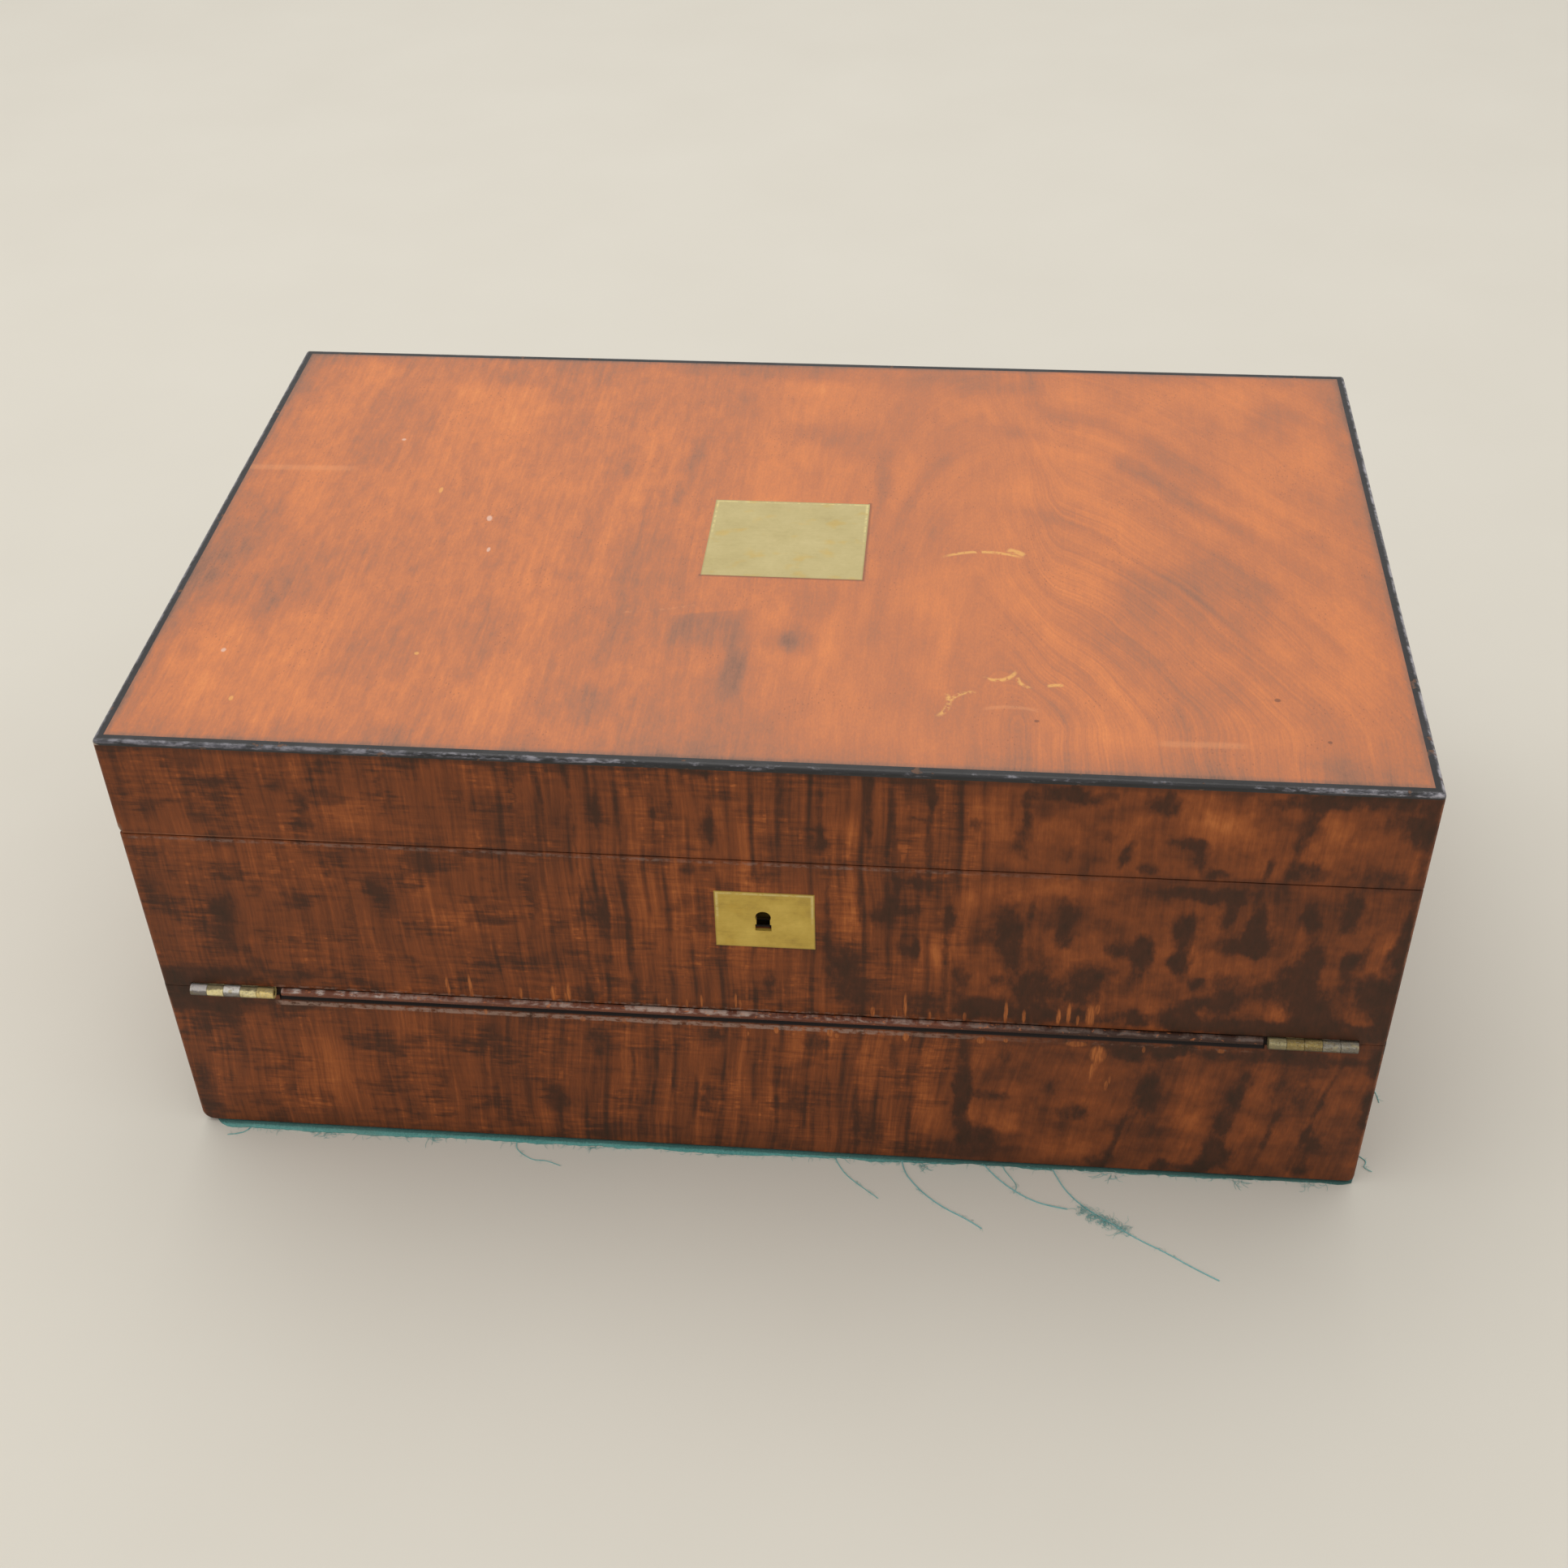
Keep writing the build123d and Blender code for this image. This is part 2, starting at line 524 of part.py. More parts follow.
def lid_rail(lo, hi, out, along):
    """One side of the lid, rebated for the panel, under the edging."""
    if along == "x":
        full = bx(lo[0], hi[0], lo[1], hi[1], Z_HIGH, Z_EDGE)
        inner = (
            bx(lo[0], hi[0], Y0 + EDGE, Y1 - EDGE, Z_PANEL, Z_EDGE + 1)
            & bx(X0 + EDGE, X1 - EDGE, Y0, Y1, Z_PANEL, Z_EDGE + 1)
        )
    else:
        full = bx(lo[0], hi[0], lo[1], hi[1], Z_HIGH, Z_EDGE)
        inner = bx(X0 + EDGE, X1 - EDGE, lo[1], hi[1], Z_PANEL, Z_EDGE + 1)
    return full - inner


lf = lid_rail((X0, Y0), (X1, YI0), -1, "x")
lf = soften(lf, 1.4, upright(X0, Y0), upright(X1, Y0))
lf = soften(lf, 0.5, along_x(Y0, Z_HIGH))
# a knock has taken a flake off the lower left corner
lf -= Pos(X0 + 0.1, Y0 + 0.1, Z_HIGH + 1.0) * Rot(0, -18, 0) * Rot(0, 0, 45) * Box(1.5, 5.0, 5.2)
link_plate_box = bx(LOCK_X - 20, LOCK_X + 20, Y0 + 1.2, YI0 - 0.6, Z_HIGH, Z_HIGH + 1.2)
lf -= link_plate_box
link = link_plate_box
for lx in LOOPS:
    loop = bx(lx - 0.9, lx + 0.9, LOOP_Y[0], LOOP_Y[1], 130.9, Z_HIGH + 0.4)
    loop = soften(loop, 0.8, along_x(LOOP_Y[0], 130.9), along_x(LOOP_Y[1], 130.9))
    loop -= bx(lx - 2, lx + 2, LOOP_Y[0] + 0.8, LOOP_Y[1] - 0.8, 131.8, 134.7)
    link += loop
link_screws = []
for sx in (LOOPS[0] - 5.0, LOOPS[1] + 5.0):
    at = Pos(sx, (Y0 + 1.2 + YI0 - 0.6) / 2, Z_HIGH) * Rot(180, 0, 0)
    link -= at * countersunk(9.0, 1.9, 0.85)
    lf -= at * countersunk(9.0, 1.9, 0.85)
    link_screws.append(at * Rot(0, 0, 3 * sx) * slotted(countersunk(9.0, 1.9, 0.85)))
save("lid_front_rail", lf)
save("link_plate", link)
save("lid_screws", *link_screws, *[s for _, s in B_LID_SCREWS])

lbk = lid_rail((X0, YI1), (X1, Y1), 1, "x")
lbk = soften(lbk, 1.4, upright(X0, Y1), upright(X1, Y1))
lbk = soften(lbk, 0.5, along_x(Y1, Z_HIGH))
lbk -= cove_back
lbk -= B_LID_CUT
for s, _ in B_LID_SCREWS:
    lbk -= s
save("lid_back_rail", lbk)
for name, x0, x1, face in (
    ("lid_left_rail", X0, XI0, X0),
    ("lid_right_rail", XI1, X1, X1),
):
    r = lid_rail((x0, YI0), (x1, YI1), 0, "y")
    r = soften(r, 0.5, lambda m, e: near(m.X, face) and near(m.Z, Z_HIGH, 0.02))
    save(name, r)

plate_box = bx(PLATE[0], PLATE[1], PLATE[2], PLATE[3], Z_TOP - PLATE_T, Z_TOP + 0.04)
plate_cut = bx(PLATE[0], PLATE[1], PLATE[2], PLATE[3], Z_TOP - PLATE_T, Z_TOP + 1)
panel = bx(X0 + EDGE, X1 - EDGE, Y0 + EDGE, Y1 - EDGE, Z_PANEL, Z_TOP) - plate_cut
save("lid_top_panel", panel)
save("lid_plate", plate_box)
save("lid_lining", bx(XI0 + 0.2, XI1 - 0.2, YI0 + 0.2, YI1 - 0.2, Z_PANEL - 0.8, Z_PANEL))

R_EDGE = 1.3
e_front = bx(X0, X1, Y0, Y0 + EDGE, Z_EDGE, Z_TOP)
e_front = soften(e_front, 1.4, upright(X0, Y0), upright(X1, Y0))
e_front = soften(
    e_front, R_EDGE,
    lambda m, e: near(m.Z, Z_TOP) and not near(m.Y, Y0 + EDGE, 0.05) and m.Y < Y0 + 1.5,
)
e_back = bx(X0, X1, Y1 - EDGE, Y1, Z_EDGE, Z_TOP)
e_back = soften(e_back, 1.4, upright(X0, Y1), upright(X1, Y1))
e_back = soften(
    e_back, R_EDGE,
    lambda m, e: near(m.Z, Z_TOP) and not near(m.Y, Y1 - EDGE, 0.05) and m.Y > Y1 - 1.5,
)
e_left = bx(X0, X0 + EDGE, Y0 + EDGE, Y1 - EDGE, Z_EDGE, Z_TOP)
e_left = soften(e_left, R_EDGE, lambda m, e: near(m.X, X0) and near(m.Z, Z_TOP))
e_right = bx(X1 - EDGE, X1, Y0 + EDGE, Y1 - EDGE, Z_EDGE, Z_TOP)
e_right = soften(e_right, R_EDGE, lambda m, e: near(m.X, X1) and near(m.Z, Z_TOP))
save("lid_edging", e_front, e_back, e_left, e_right)

# ---------------------------------------------------------------- pen tray
TW = 0.5
tray = bx(TRAY_X0 + TW, TRAY_X1 - TW, RISER_T + TW, RACK_Y - TW, TRAY_Z0 + 0.2, TRAY_Z1)
ty = (RISER_T + RACK_Y) / 2
trough = cx(TRAY_X0 + 7, TRAY_X1 - 45, ty, TRAY_Z1 + 5.0, 22.0)
dish = Pos(TRAY_X1 - 24, ty, TRAY_Z1 + 12.0) * Sphere(25.0)
tray = tray - trough - dish
save("pen_tray", tray)


# ---------------------------------------------------------------- inkwells
BW = 44.0            # square glass bottle
B_Z0 = SHELF_TOP + 0.2
B_H = 38.0
for side, cxm in (("left", XI0 + INK_W / 2), ("right", XI1 - INK_W / 2)):
    cym = (RISER_T + RACK_Y) / 2
    z1 = B_Z0 + B_H
    body = bx(cxm - BW / 2, cxm + BW / 2, cym - BW / 2, cym + BW / 2, B_Z0, z1)
    body = fillet(body.edges().filter_by(Axis.Z), 3.5)
    top_ring = [e for e in body.edges() if near((e @ 0.5).Z, z1)]
    body = chamfer(top_ring, 3.0)
    neck = cz(cxm, cym, z1, z1 + 5.0, 14.0)
    body += neck
    body -= cz(cxm, cym, B_Z0 + 6.0, z1 + 6.0, 11.0)
    save(f"inkwell_{side}_bottle", body)
    # brass collar round the neck, with the two outer knuckles of the cap's hinge
    c0, c1 = z1 + 0.05, z1 + 5.4
    collar = cz(cxm, cym, c0, c1, 16.0) - cz(cxm, cym, c0 - 1, c1 + 1, 14.05)
    hy = cym + 16.0 + 1.9
    hz = c1 + 0.1
    ear = [(cxm - 6.0, cxm - 2.1), (cxm + 2.1, cxm + 6.0)]
    for lo, hi in ear:
        collar += cx(lo, hi, hy, hz, 1.7)
        collar += bx(lo, hi, cym + 14.6, hy, c1 - 2.4, c1 - 0.3) - cz(cxm, cym, c0 - 1, c1 + 1, 14.05)
    # the pin is riveted into the collar's ears
    collar += cx(cxm - 6.0, cxm + 6.0, hy, hz, 0.6)
    save(f"inkwell_{side}_collar", collar)
    cap_z = c1 + 0.25
    cap = cz(cxm, cym, cap_z, cap_z + 3.0, 16.0)
    dome = Pos(cxm, cym, cap_z + 5.4 - 30.0) * Sphere(30.0)
    dome = dome & cz(cxm, cym, cap_z + 1.0, cap_z + 8.0, 15.0)
    cap += dome
    cap += bx(cxm - 1.9, cxm + 1.9, cym + 14.0, hy, cap_z + 0.2, cap_z + 1.6)
    cap += cx(cxm - 1.9, cxm + 1.9, hy, hz, 1.7)
    cap -= cx(cxm - 7, cxm + 7, hy, hz, 0.65)
    # finger lip at the front
    cap += bx(cxm - 3.0, cxm + 3.0, cym - 18.4, cym - 15.0, cap_z + 0.4, cap_z + 1.8)
    # hollow under the cap
    cap -= cz(cxm, cym, cap_z - 1, cap_z + 1.6, 12.5)
    save(f"inkwell_{side}_cap", cap)

# ------------------------------------------------- loose threads of the baize
# Routes on the table in front of the box, from the frayed edge of the baize.
THREAD_R = 0.22
TZ = 0.24
THREADS = {
    "loose_thread_left": [
        (47.6, -124.6), (48.6, -130.2), (52.6, -136.0), (58.0, -141.6),
        (64.4, -146.2), (70.8, -149.4), (76.0, -153.2),
    ],
    "loose_thread_middle": [
        (75.8, -124.6), (79.6, -129.6), (84.8, -134.6), (91.0, -139.0),
        (98.0, -141.9), (105.0, -142.8),
    ],
    "loose_thread_right": [
        (99.8, -124.6), (101.8, -129.8), (105.4, -136.2), (111.4, -142.4),
        (119.4, -147.6), (128.0, -153.8), (137.6, -158.8), (146.6, -164.8),
        (154.4, -169.0),
    ],
}


def thread(points):
    """A tube of straight runs and tangent arcs, and its radii and length."""
    pts = [Vector(x, y, TZ) for x, y in points]
    radii = []
    for p, q, r in zip(pts, pts[1:], pts[2:]):
        turn = (q - p).get_angle(r - q)
        short = min((q - p).length, (r - q).length)
        radii.append(0.45 * short / math.tan(math.radians(turn) / 2))
    path = FilletPolyline(*pts, radius=radii)
    start = Plane(origin=path @ 0, z_dir=path % 0)
    tube = sweep(start * Circle(THREAD_R), path=path)
    return tube, radii, path.length


for name, route in THREADS.items():
    tube, radii, length = thread(route)
    print(name, "radii", [round(r, 1) for r in radii], "length", round(length, 1),
          "volume", round(tube.volume, 3), "expected", round(math.pi * THREAD_R**2 * length, 3))
    save(name, tube)

# -------------------------------------------------------------------- write
for name, solids in PARTS.items():
    shape = solids[0] if len(solids) == 1 else Compound(children=solids)
    export_step(shape, f"parts/{name}.step")
print(len(PARTS), "nodes")
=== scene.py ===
import bpy, bmesh, math, random
from mathutils import Vector, Matrix, noise as mnoise


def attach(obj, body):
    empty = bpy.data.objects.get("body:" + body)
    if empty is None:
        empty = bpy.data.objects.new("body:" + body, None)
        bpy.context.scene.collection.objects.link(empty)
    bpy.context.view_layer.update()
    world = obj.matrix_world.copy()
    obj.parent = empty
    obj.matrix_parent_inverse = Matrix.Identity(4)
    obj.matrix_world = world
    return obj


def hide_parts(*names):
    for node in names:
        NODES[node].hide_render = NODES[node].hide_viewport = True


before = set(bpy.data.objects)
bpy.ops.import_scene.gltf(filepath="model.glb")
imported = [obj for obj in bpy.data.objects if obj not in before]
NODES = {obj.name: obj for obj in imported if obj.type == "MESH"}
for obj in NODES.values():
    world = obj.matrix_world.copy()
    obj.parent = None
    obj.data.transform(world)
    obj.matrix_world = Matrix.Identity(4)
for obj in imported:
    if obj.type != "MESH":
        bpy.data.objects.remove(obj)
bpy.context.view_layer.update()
scene = bpy.context.scene
scene.view_settings.view_transform = "Standard"
scene.view_settings.look = "None"

# ---------------------------------------------------------------------------
# Camera: stands to the right of the middle, in front, looking down on the lid
# ---------------------------------------------------------------------------
cam_data = bpy.data.cameras.new("camera")
cam = bpy.data.objects.new("camera", cam_data)
scene.collection.objects.link(cam)
RIGHT = Vector((0.99598394, 0.08740832, -0.01938495))
DOWN = Vector((0.04106429, -0.63837431, -0.76862993))
AHEAD = Vector((-0.0795595, 0.76474703, -0.63939992))
m = Matrix.Identity(4)
for col, v in enumerate((RIGHT, -DOWN, -AHEAD)):
    for row in range(3):
        m[row][col] = v[row]
m.translation = Vector((0.0586, -0.5955, 0.5625))
cam.matrix_world = m
cam_data.sensor_width = 36.0
cam_data.lens = 47.21
cam_data.clip_start = 0.01
cam_data.clip_end = 50
scene.camera = cam


# ---------------------------------------------------------------------------
# Writing node trees as formulas. Lengths inside the materials are millimetres.
# ---------------------------------------------------------------------------
def lin(r, g, b, a=1.0):
    def f(c):
        c /= 255.0
        return c / 12.92 if c <= 0.04045 else ((c + 0.055) / 1.055) ** 2.4
    return (f(r), f(g), f(b), a)


class V:
    def __init__(self, net, sock):
        self.g, self.s = net, sock

    def __add__(a, b): return a.g.m("ADD", a, b)
    def __radd__(a, b): return a.g.m("ADD", b, a)
    def __sub__(a, b): return a.g.m("SUBTRACT", a, b)
    def __rsub__(a, b): return a.g.m("SUBTRACT", b, a)
    def __mul__(a, b): return a.g.m("MULTIPLY", a, b)
    def __rmul__(a, b): return a.g.m("MULTIPLY", b, a)
    def __truediv__(a, b): return a.g.m("DIVIDE", a, b)
    def __neg__(a): return a.g.m("MULTIPLY", a, -1.0)
    def __abs__(a): return a.g.m("ABSOLUTE", a)
    def __pow__(a, b): return a.g.m("POWER", a, b)


class Net:
    def __init__(self, name):
        self.mat = bpy.data.materials.new(name)
        self.mat.use_nodes = True
        self.t = self.mat.node_tree
        self.t.nodes.clear()
        self.out = self.t.nodes.new("ShaderNodeOutputMaterial")
        self.bsdf = self.t.nodes.new("ShaderNodeBsdfPrincipled")
        self.t.links.new(self.bsdf.outputs[0], self.out.inputs["Surface"])

    def new(self, kind, **props):
        n = self.t.nodes.new(kind)
        for k, v in props.items():
            setattr(n, k, v)
        return n

    def put(self, sock, v):
        if isinstance(v, V):
            self.t.links.new(v.s, sock)
        elif v is not None:
            sock.default_value = v

    def m(self, op, a, b=None, c=None, clamp=False):
        n = self.new("ShaderNodeMath", operation=op, use_clamp=clamp)
        self.put(n.inputs[0], a)
        self.put(n.inputs[1], b)
        if c is not None:
            self.put(n.inputs[2], c)
        return V(self, n.outputs[0])

    def place(self):
        """x, y, z of the surface in the object's own frame, in millimetres."""
        tc = self.new("ShaderNodeTexCoord")
        sc = self.new("ShaderNodeVectorMath", operation="SCALE")
        self.t.links.new(tc.outputs["Object"], sc.inputs[0])
        sc.inputs["Scale"].default_value = 1000.0
        sep = self.new("ShaderNodeSeparateXYZ")
        self.t.links.new(sc.outputs[0], sep.inputs[0])
        self.p = V(self, sc.outputs[0])
        return tuple(V(self, o) for o in sep.outputs)

    def vec(self, x, y, z=0.0):
        n = self.new("ShaderNodeCombineXYZ")
        for s, v in zip(n.inputs, (x, y, z)):
            self.put(s, v)
        return V(self, n.outputs[0])

    def noise(self, vec, scale=1.0, detail=2.0, rough=0.5, dist=0.0):
        n = self.new("ShaderNodeTexNoise", noise_dimensions="3D")
        self.put(n.inputs["Vector"], vec)
        n.inputs["Scale"].default_value = scale
        n.inputs["Detail"].default_value = detail
        n.inputs["Roughness"].default_value = rough
        n.inputs["Distortion"].default_value = dist
        return V(self, n.outputs[0])

    def noise1(self, w, scale=1.0, detail=2.0, rough=0.5):
        n = self.new("ShaderNodeTexNoise", noise_dimensions="1D")
        self.put(n.inputs["W"], w)
        n.inputs["Scale"].default_value = scale
        n.inputs["Detail"].default_value = detail
        n.inputs["Roughness"].default_value = rough
        return V(self, n.outputs[0])

    def cells1(self, w, feature="DISTANCE_TO_EDGE", rand=1.0):
        n = self.new("ShaderNodeTexVoronoi", voronoi_dimensions="1D", feature=feature)
        self.put(n.inputs["W"], w)
        n.inputs["Scale"].default_value = 1.0
        n.inputs["Randomness"].default_value = rand
        return n

    def cells(self, vec, scale=1.0, feature="F1", rand=1.0, dims="3D"):
        n = self.new("ShaderNodeTexVoronoi", voronoi_dimensions=dims, feature=feature)
        self.put(n.inputs["Vector"], vec)
        n.inputs["Scale"].default_value = scale
        n.inputs["Randomness"].default_value = rand
        return V(self, n.outputs["Distance"])

    def up(self, lo, hi, x):
        """0 below lo, 1 above hi, smooth between."""
        n = self.new("ShaderNodeMapRange", interpolation_type="SMOOTHSTEP", clamp=False)
        self.put(n.inputs["Value"], x)
        self.put(n.inputs["From Min"], lo)
        self.put(n.inputs["From Max"], hi)
        return V(self, n.outputs[0])

    def down(self, lo, hi, x):
        n = self.new("ShaderNodeMapRange", interpolation_type="SMOOTHSTEP", clamp=False)
        self.put(n.inputs["Value"], x)
        self.put(n.inputs["From Min"], lo)
        self.put(n.inputs["From Max"], hi)
        n.inputs["To Min"].default_value = 1.0
        n.inputs["To Max"].default_value = 0.0
        return V(self, n.outputs[0])

    def mix(self, f, a, b, blend="MIX"):
        n = self.new("ShaderNodeMix", data_type="RGBA", blend_type=blend)
        self.put(n.inputs[0], f)
        self.put(n.inputs[6], a)
        self.put(n.inputs[7], b)
        return V(self, n.outputs[2])

    def lerp(self, f, a, b):
        n = self.new("ShaderNodeMix", data_type="FLOAT")
        self.put(n.inputs[0], f)
        self.put(n.inputs[2], a)
        self.put(n.inputs[3], b)
        return V(self, n.outputs[0])

    def ramp(self, x, stops, interp="LINEAR"):
        n = self.new("ShaderNodeValToRGB")
        cr = n.color_ramp
        cr.interpolation = interp
        while len(cr.elements) < len(stops):
            cr.elements.new(0.5)
        for e, (pos, col) in zip(cr.elements, stops):
            e.position = pos
            e.color = col if hasattr(col, "__len__") else (col, col, col, 1.0)
        self.put(n.inputs[0], x)
        return V(self, n.outputs[0])

    def bump(self, height_mm, strength=1.0):
        n = self.new("ShaderNodeBump")
        n.inputs["Strength"].default_value = strength
        n.inputs["Distance"].default_value = 0.001
        self.put(n.inputs["Height"], height_mm)
        return V(self, n.outputs[0])

    def near(self, x, y, cx, cy, rx, ry, turn=0.0):
        """Distance from an ellipse's middle in radii: under 1 inside it."""
        c, s = math.cos(math.radians(turn)), math.sin(math.radians(turn))
        dx, dy = x - cx, y - cy
        if turn:
            dx, dy = dx * c + dy * s, dy * c - dx * s
        a, b = dx * (1 / rx), dy * (1 / ry)
        return self.m("SQRT", a * a + b * b)

    def shaken(self, p, scale, amp, seed=0.0):
        """Place p, pushed about by a noise of the given pitch."""
        # every node is made after the ones it reads, which keeps few values waiting;
        # the smooth steps above go without their own clamp for the same reason
        o = self.new("ShaderNodeVectorMath", operation="MULTIPLY_ADD")
        self.put(o.inputs[0], p)
        o.inputs[1].default_value = scale
        o.inputs[2].default_value = (0.0, 0.0, seed)
        n = self.new("ShaderNodeTexNoise", noise_dimensions="3D")
        self.t.links.new(o.outputs[0], n.inputs["Vector"])
        n.inputs["Scale"].default_value = 1.0
        n.inputs["Detail"].default_value = 3.0
        n.inputs["Roughness"].default_value = 0.62
        k = self.new("ShaderNodeVectorMath", operation="MULTIPLY_ADD")
        self.t.links.new(n.outputs["Color"], k.inputs[0])
        k.inputs[1].default_value = amp
        k.inputs[2].default_value = tuple(-0.5 * a for a in amp)
        r = self.new("ShaderNodeVectorMath", operation="ADD")
        self.put(r.inputs[0], p)
        self.t.links.new(k.outputs[0], r.inputs[1])
        return V(self, r.outputs[0])

    def blots(self, p, items, lo=0.58, hi=1.14, op="MAXIMUM"):
        """Soft ovals at given places: each item is x, z, half-width, half-height, strength.
        With op ADD they are added up instead of taken one by one, and neighbours swell into each other; by default the
        strongest one counts."""
        acc = None
        for x, z, rx, rz, k in items:
            n = self.new("ShaderNodeVectorMath", operation="MULTIPLY_ADD")
            self.put(n.inputs[0], p)
            n.inputs[1].default_value = (1 / rx, 1 / rz, 0.0)
            n.inputs[2].default_value = (-x / rx, -z / rz, 0.0)
            d = self.new("ShaderNodeVectorMath", operation="LENGTH")
            self.t.links.new(n.outputs[0], d.inputs[0])
            r = self.new("ShaderNodeMapRange", interpolation_type="SMOOTHSTEP", clamp=False)
            self.t.links.new(d.outputs["Value"], r.inputs["Value"])
            r.inputs["From Min"].default_value = lo
            r.inputs["From Max"].default_value = hi
            r.inputs["To Min"].default_value = k
            r.inputs["To Max"].default_value = 0.0
            e = V(self, r.outputs[0])
            acc = e if acc is None else self.m(op, acc, e)
        return acc

    def any(self, *masks):
        r = masks[0]
        for k in masks[1:]:
            r = self.m("MAXIMUM", r, k)
        return r

    def finish(self, color=None, rough=None, metal=None, normal=None, **fixed):
        b = self.bsdf.inputs
        self.put(b["Base Color"], color)
        self.put(b["Roughness"], rough)
        self.put(b["Metallic"], metal)
        self.put(b["Normal"], normal)
        for k, v in fixed.items():
            b[k.replace("_", " ")].default_value = v
        return self.mat


# ---------------------------------------------------------------------------
# Wood
# ---------------------------------------------------------------------------
Z_SEAM1 = 137.4
Z_SEAM2 = 69.05
DARK = lin(50, 30, 22)
VENEER_STOPS = [
    (0.00, lin(186, 108, 54)),
    (0.18, lin(156, 85, 41)),
    (0.36, lin(127, 67, 33)),
    (0.54, lin(101, 54, 29)),
    (0.74, lin(75, 43, 27)),
    (1.00, lin(56, 37, 25)),
]


# Dark blotches, lines and bright places of the front's figure: x, z, half-width, half-height, strength.
RIGHT_BLOTS = [
    (96, 169, 11, 3.4, .40), (123, 168, 5, 4.4, .42), (178, 171, 24, 3.4, .40), (108, 153, 3, 4, .16),
    (168.5, 142.5, 5.5, 3.5, .40), (190, 142, 12, 5, .30), (198, 163, 6, 6, .28), (131, 152, 6.5, 2.4, .38),
    (135.5, 147, 2.3, 6, .40), (141, 140.5, 4.5, 2.2, .38), (120, 142, 3, 3, .36), (82, 151, 4.5, 7, .22),
    (67.5, 155.5, 2, 2.6, .24), (82.5, 166, 1.7, 9, .32), (79.5, 111, 4.8, 13, .44), (72, 111, 2, 8, .20),
    (86.5, 121.5, 1.5, 5, .30), (96.5, 113, 3.2, 6.5, .44), (97.5, 123.5, 3.6, 3.2, .32), (90.5, 114, 1.4, 5, .18),
    (108, 118, 4, 2.2, .20), (116, 107.5, 6.5, 3.6, .40), (122, 104.5, 3.4, 8.5, .46), (139, 132, 14.5, 2.9, .46),
    (133, 118, 5.5, 5.5, .40), (134, 106, 3.2, 9.5, .42), (151, 110.5, 8.5, 4.2, .46), (157, 113.5, 4.5, 8, .46),
    (155, 123, 2.4, 10, .36), (171, 124, 3.4, 5, .46), (173.5, 106, 4.2, 13, .46), (168, 94, 8, 8.5, .44),
    (183, 127, 4.2, 8.5, .46), (185, 106, 2.4, 5, .40), (201, 98, 3.4, 22, .38), (194, 93, 3, 8, .34),
    (139.5, 93.5, 2.6, 2.8, .36), (131, 102, 2, 4, .30), (88, 88, 8.5, 10.5, .44), (104, 88.5, 6, 8.5, .44),
    (71, 78, 9, 4.5, .44), (65, 91, 3, 7, .36), (76, 91, 2.5, 4, .34), (136, 80, 5, 5.5, .42),
    (147.5, 85, 7.5, 3.8, .42), (153, 76, 14, 5, .36), (177, 81, 6.5, 10, .54), (188, 75, 6, 3.4, .36),
    (122, 77, 3, 5, .24), (67.5, 34, 2.8, 30, .46), (75, 14, 6, 8, .42), (77, 35.5, 5.5, 2.6, .36),
    (81, 56, 4, 6, .20), (97.5, 42, 2.4, 6, .20), (105, 29.5, 5, 4.5, .34), (121.5, 59, 4, 4, .40),
    (129.5, 41.5, 4.8, 12, .46), (134, 61, 6, 3, .30), (115.5, 5.5, 5, 4, .34), (177, 47, 9, 11, .26),
    (186, 20, 4, 7, .44), (156.5, 11, 4.5, 6, .40), (149, 5, 6, 4, .40), (136.5, 4.5, 5, 3, .36),
    (202, 39, 2.6, 8, .40), (202, 59, 3.4, 6, .40), (183, 6, 4, 6, .30),
    # the right end, and the grime above and below the lower seam
    (201, 157, 3.6, 12, .22), (202, 122, 2.6, 14, .24), (200, 84, 5, 11, .30), (202, 30, 2, 20, .20), (190, 162, 7, 5, .22),
    (170, 61.5, 36, 3.2, .36), (112, 63, 34, 2.2, .22), (176, 73, 30, 4.0, .40), (118, 76, 30, 3.5, .26), (84, 75, 22, 4, .24),
    (150, 92, 10, 6, .24), (112, 96, 10, 5, .18), (188, 92, 8, 12, .24),
]
SLANT_BLOTS = [
    (165, 156, 2.6, 18, .34), (156, 143, 1.3, 6, .34), (112.5, 146, 1.6, 5, .34), (96, 146, 1.8, 6, .22),
    (146.5, 124, 2.6, 7, .44), (190, 110, 1.6, 8, .26), (156, 31, 3.4, 24, .42), (121, 20, 1.5, 14, .34),
    (170.5, 22, 1.3, 18, .26), (186, 38, 1.0, 26, .24), (198, 112, 2.2, 9, .20), (115, 152, 2, 9, .14),
]
